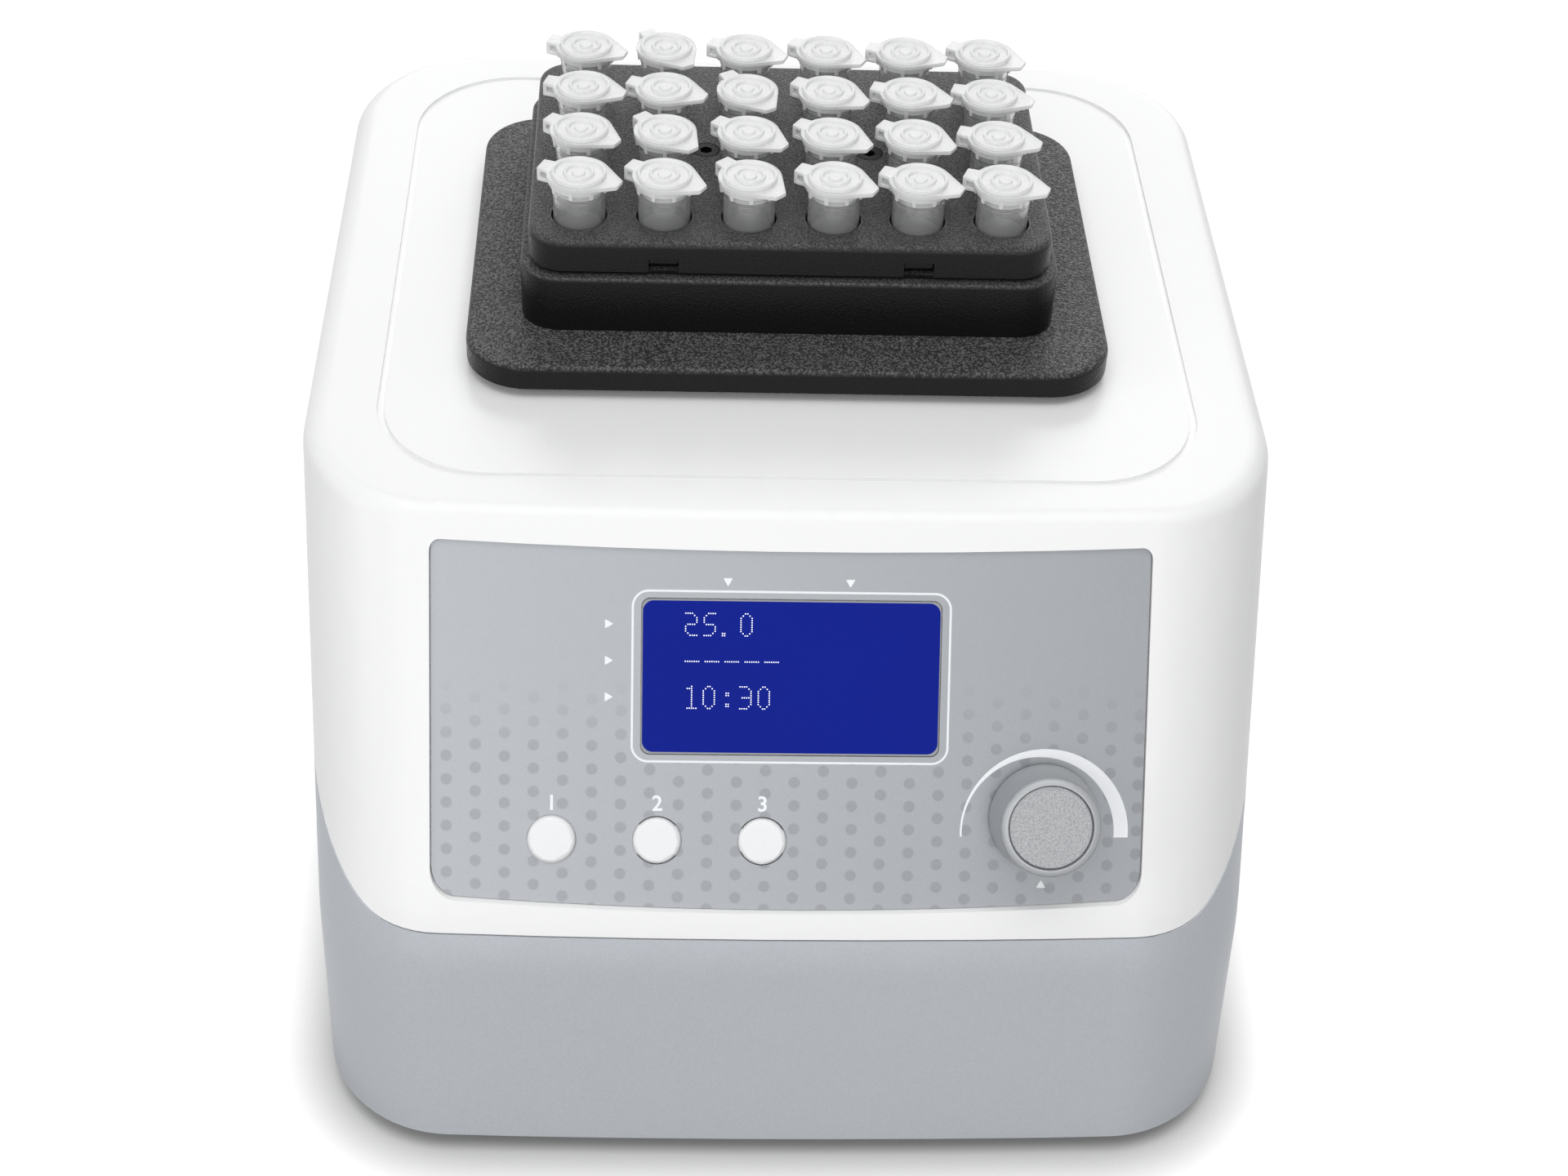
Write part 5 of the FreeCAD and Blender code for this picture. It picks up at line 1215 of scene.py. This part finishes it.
class HEATER_OT_rear(bpy.types.Operator):
    """Finish the mains inlet, its pins, the rocker with its marks, and the fuse drawer with its fuse"""
    bl_idname = "heater.rear"
    bl_label = "Rear inlet"

    def execute(self, context):
        black = moulded("inlet_black", (0.020, 0.020, 0.021), 0.0004, 0.00003, 0.42, 0.08)
        dressed_copy("inlet_module", "inlet_moulding", "black_plastic", black)
        dressed_copy("inlet_pins", "contact_pins", "brass", metal("pin_brass", (0.72, 0.60, 0.34), 0.25))
        dressed_copy("fuse_drawer", "fuse_holder", "dark_plastic", black)
        rocker_black = moulded("rocker_black", (0.014, 0.014, 0.015), 0.0005, 0.00001, 0.24, 0.05)
        rocker = dressed_copy("rocker_switch", "rocker_key", "black_plastic", rocker_black)
        paint("fuse", glass_fuse())
        ink = moulded("mark_white", (0.80, 0.80, 0.80), 0.0003, 0.000006, 0.5, 0.05, 0.02)
        low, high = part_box("rocker_switch")
        for word, sign, height in ROCKER_MARKS:
            start = Vector(((low.x + high.x) / 2, high.y + STAND_OFF, low.z + (high.z - low.z) * height))
            self.mark(rocker, f"rocker_mark_{word}", sign, start, ink)
        return {"FINISHED"}

    def mark(self, rocker, name, sign, start, ink):
        """A plain sign on one half of the rocker."""
        place, normal = surface_at(rocker, start, Vector((0, -1, 0)))
        sideways = Vector((-1, 0, 0))
        turn = Matrix((sideways, normal.cross(sideways), normal)).transposed()
        piece = plain_sign(name, sign, **MARK_SHAPE)
        lay(piece, place, turn)
        give(piece, "rocker", "white_case", ink)


class HEATER_OT_inner_works(bpy.types.Operator):
    """Paint the boards, the heater, the sensors and the encoder inside the case"""
    bl_idname = "heater.inner_works"
    bl_label = "Inner works"

    def execute(self, context):
        board = circuit_board()
        dark = moulded("module_black", (0.03, 0.03, 0.032), 0.0005, 0.00003, 0.5, 0.1)
        steel = metal("bright_steel", (0.66, 0.66, 0.68), 0.28)
        aluminium = metal("heater_aluminium", (0.72, 0.73, 0.75), 0.35)
        silicone = moulded("heater_silicone", (0.42, 0.12, 0.045), 0.001, 0.00008, 0.6, 0.1)
        fibre = moulded("fibre_wool", (0.74, 0.72, 0.66), 0.0012, 0.0004, 0.9, 0.05)
        for node, material in (
            ("display_module", dark), ("control_board", board), ("power_board", board),
            ("encoder_body", steel), ("encoder_nut", steel), ("encoder_shaft", steel), ("push_plunger", dark),
            ("heater_plate", aluminium), ("heater_mat", silicone), ("insulation", fibre),
            ("heater_bracket", steel), ("temperature_probe", steel), ("thermal_cutout", dark),
        ):
            paint(node, material)
        return {"FINISHED"}


class HEATER_OT_stage(bpy.types.Operator):
    """Set up the camera, the pale floor, the even light and the soft lamps"""
    bl_idname = "heater.stage"
    bl_label = "Stage"

    def execute(self, context):
        settings = context.scene.heater_stage
        context.scene.view_settings.view_transform = "Standard"
        self.camera(context, settings)
        self.floor(settings)
        self.world(context, settings)
        for name, place, size, watts in LAMPS:
            self.lamp(name, Vector(place), size, watts)
        return {"FINISHED"}

    def camera(self, context, settings):
        """Camera fitted to the photograph's view."""
        tilt, turn, roll = settings.tilt, settings.turn, settings.roll
        ahead = Vector((-math.sin(turn) * math.cos(tilt), math.cos(turn) * math.cos(tilt), -math.sin(tilt)))
        level = Vector((math.cos(turn), math.sin(turn), 0))
        above = level.cross(ahead)
        right = math.cos(roll) * level + math.sin(roll) * above
        top = -math.sin(roll) * level + math.cos(roll) * above
        deselect_all()
        bpy.ops.object.camera_add()
        camera = context.object
        camera.name = "photo_camera"
        camera.matrix_world = (Matrix.Translation(settings.place)
                               @ Matrix((right, top, -ahead)).transposed().to_4x4())
        camera.data.lens = settings.lens
        camera.data.sensor_width = SENSOR_WIDTH
        camera.data.shift_y = settings.rise
        camera.data.clip_start = NEAREST_SEEN
        context.scene.camera = camera

    def floor(self, settings):
        """Pale floor that keeps the lamps' soft shadows, with a painted shadow where its glow fades near the
        heater.
        """
        deselect_all()
        bpy.ops.mesh.primitive_circle_add(vertices=FLOOR_SIDES, radius=FLOOR_RADIUS, fill_type="NGON",
                                          location=(0, 0, -FLOOR_DROP))
        floor = bpy.context.object
        floor.name = "studio_floor"
        finish = Finish("studio_floor", Roughness=0.9, Specular_IOR_Level=0.1)
        cloud = finish.noise(0.4, 2)
        finish.set("Base Color", finish.mix(cloud, toned(settings.floor, 0.99), settings.floor))
        finish.set("Emission Color", (1, 1, 1, 1))
        # Painted shadow: the glow fades where the heater is near, leaning so that more of it falls in front
        # of the heater
        nearness = finish.node("ShaderNodeAmbientOcclusion")
        nearness.inputs["Distance"].default_value = SHADOW_REACH
        finish.wire(finish.node("ShaderNodeCombineXYZ", *SHADOW_LEAN).outputs[0], nearness.inputs["Normal"])
        open_floor = finish.math("POWER", nearness.outputs["AO"], SHADOW_DEPTH)
        glow = finish.math("MULTIPLY", open_floor, FLOOR_GLOW)
        finish.set("Emission Strength", finish.math("MULTIPLY", finish.seen(), glow))
        floor.data.materials.append(finish.material)

    def world(self, context, settings):
        """Even light on the heater, and plain white where the camera sees past it."""
        context.scene.world = bpy.data.worlds.new("studio")
        light = NodeTree(context.scene.world, "Background")
        light.set("Color", (1, 1, 1, 1))
        light.set("Strength", light.ramp(light.seen(), 0.0, 1.0, settings.ambient, 1.0))

    def lamp(self, name, place, size, watts):
        """Soft lamp that points at the heater."""
        deselect_all()
        bpy.ops.object.light_add(type="AREA", location=place)
        lamp = bpy.context.object
        lamp.name = name
        lamp.data.shape = "RECTANGLE"
        lamp.data.size, lamp.data.size_y = size
        lamp.data.energy = watts
        lamp.rotation_euler = (LAMP_AIM - place).to_track_quat("-Z", "Y").to_euler()


class HEATER_PT_pieces(bpy.types.Panel):
    """The heater's pieces and their settings"""
    bl_idname = "HEATER_PT_pieces"
    bl_label = "Dry Block Heater"
    bl_space_type = "VIEW_3D"
    bl_region_type = "UI"
    bl_category = "Heater"

    def draw(self, context):
        for operator in OPERATORS:
            self.layout.operator(operator.bl_idname)
        for name, group in SETTINGS:
            box = self.layout.box()
            for setting in group.__annotations__:
                box.prop(getattr(context.scene, name), setting)


OPERATORS = (
    HEATER_OT_case,
    HEATER_OT_panel,
    HEATER_OT_knob,
    HEATER_OT_block,
    HEATER_OT_tubes,
    HEATER_OT_rear,
    HEATER_OT_inner_works,
    HEATER_OT_stage,
)


def register():
    for name, group in SETTINGS:
        bpy.utils.register_class(group)
        setattr(bpy.types.Scene, name, PointerProperty(type=group))
    for made in (*OPERATORS, HEATER_PT_pieces):
        bpy.utils.register_class(made)


def unregister():
    for made in (HEATER_PT_pieces, *reversed(OPERATORS)):
        bpy.utils.unregister_class(made)
    for name, group in reversed(SETTINGS):
        delattr(bpy.types.Scene, name)
        bpy.utils.unregister_class(group)


def main():
    register()
    bpy.ops.heater.stage()
    bpy.ops.heater.case()
    bpy.ops.heater.panel()
    bpy.ops.heater.knob()
    bpy.ops.heater.block()
    bpy.ops.heater.tubes()
    bpy.ops.heater.rear()
    bpy.ops.heater.inner_works()


if __name__ == "__main__":
    main()
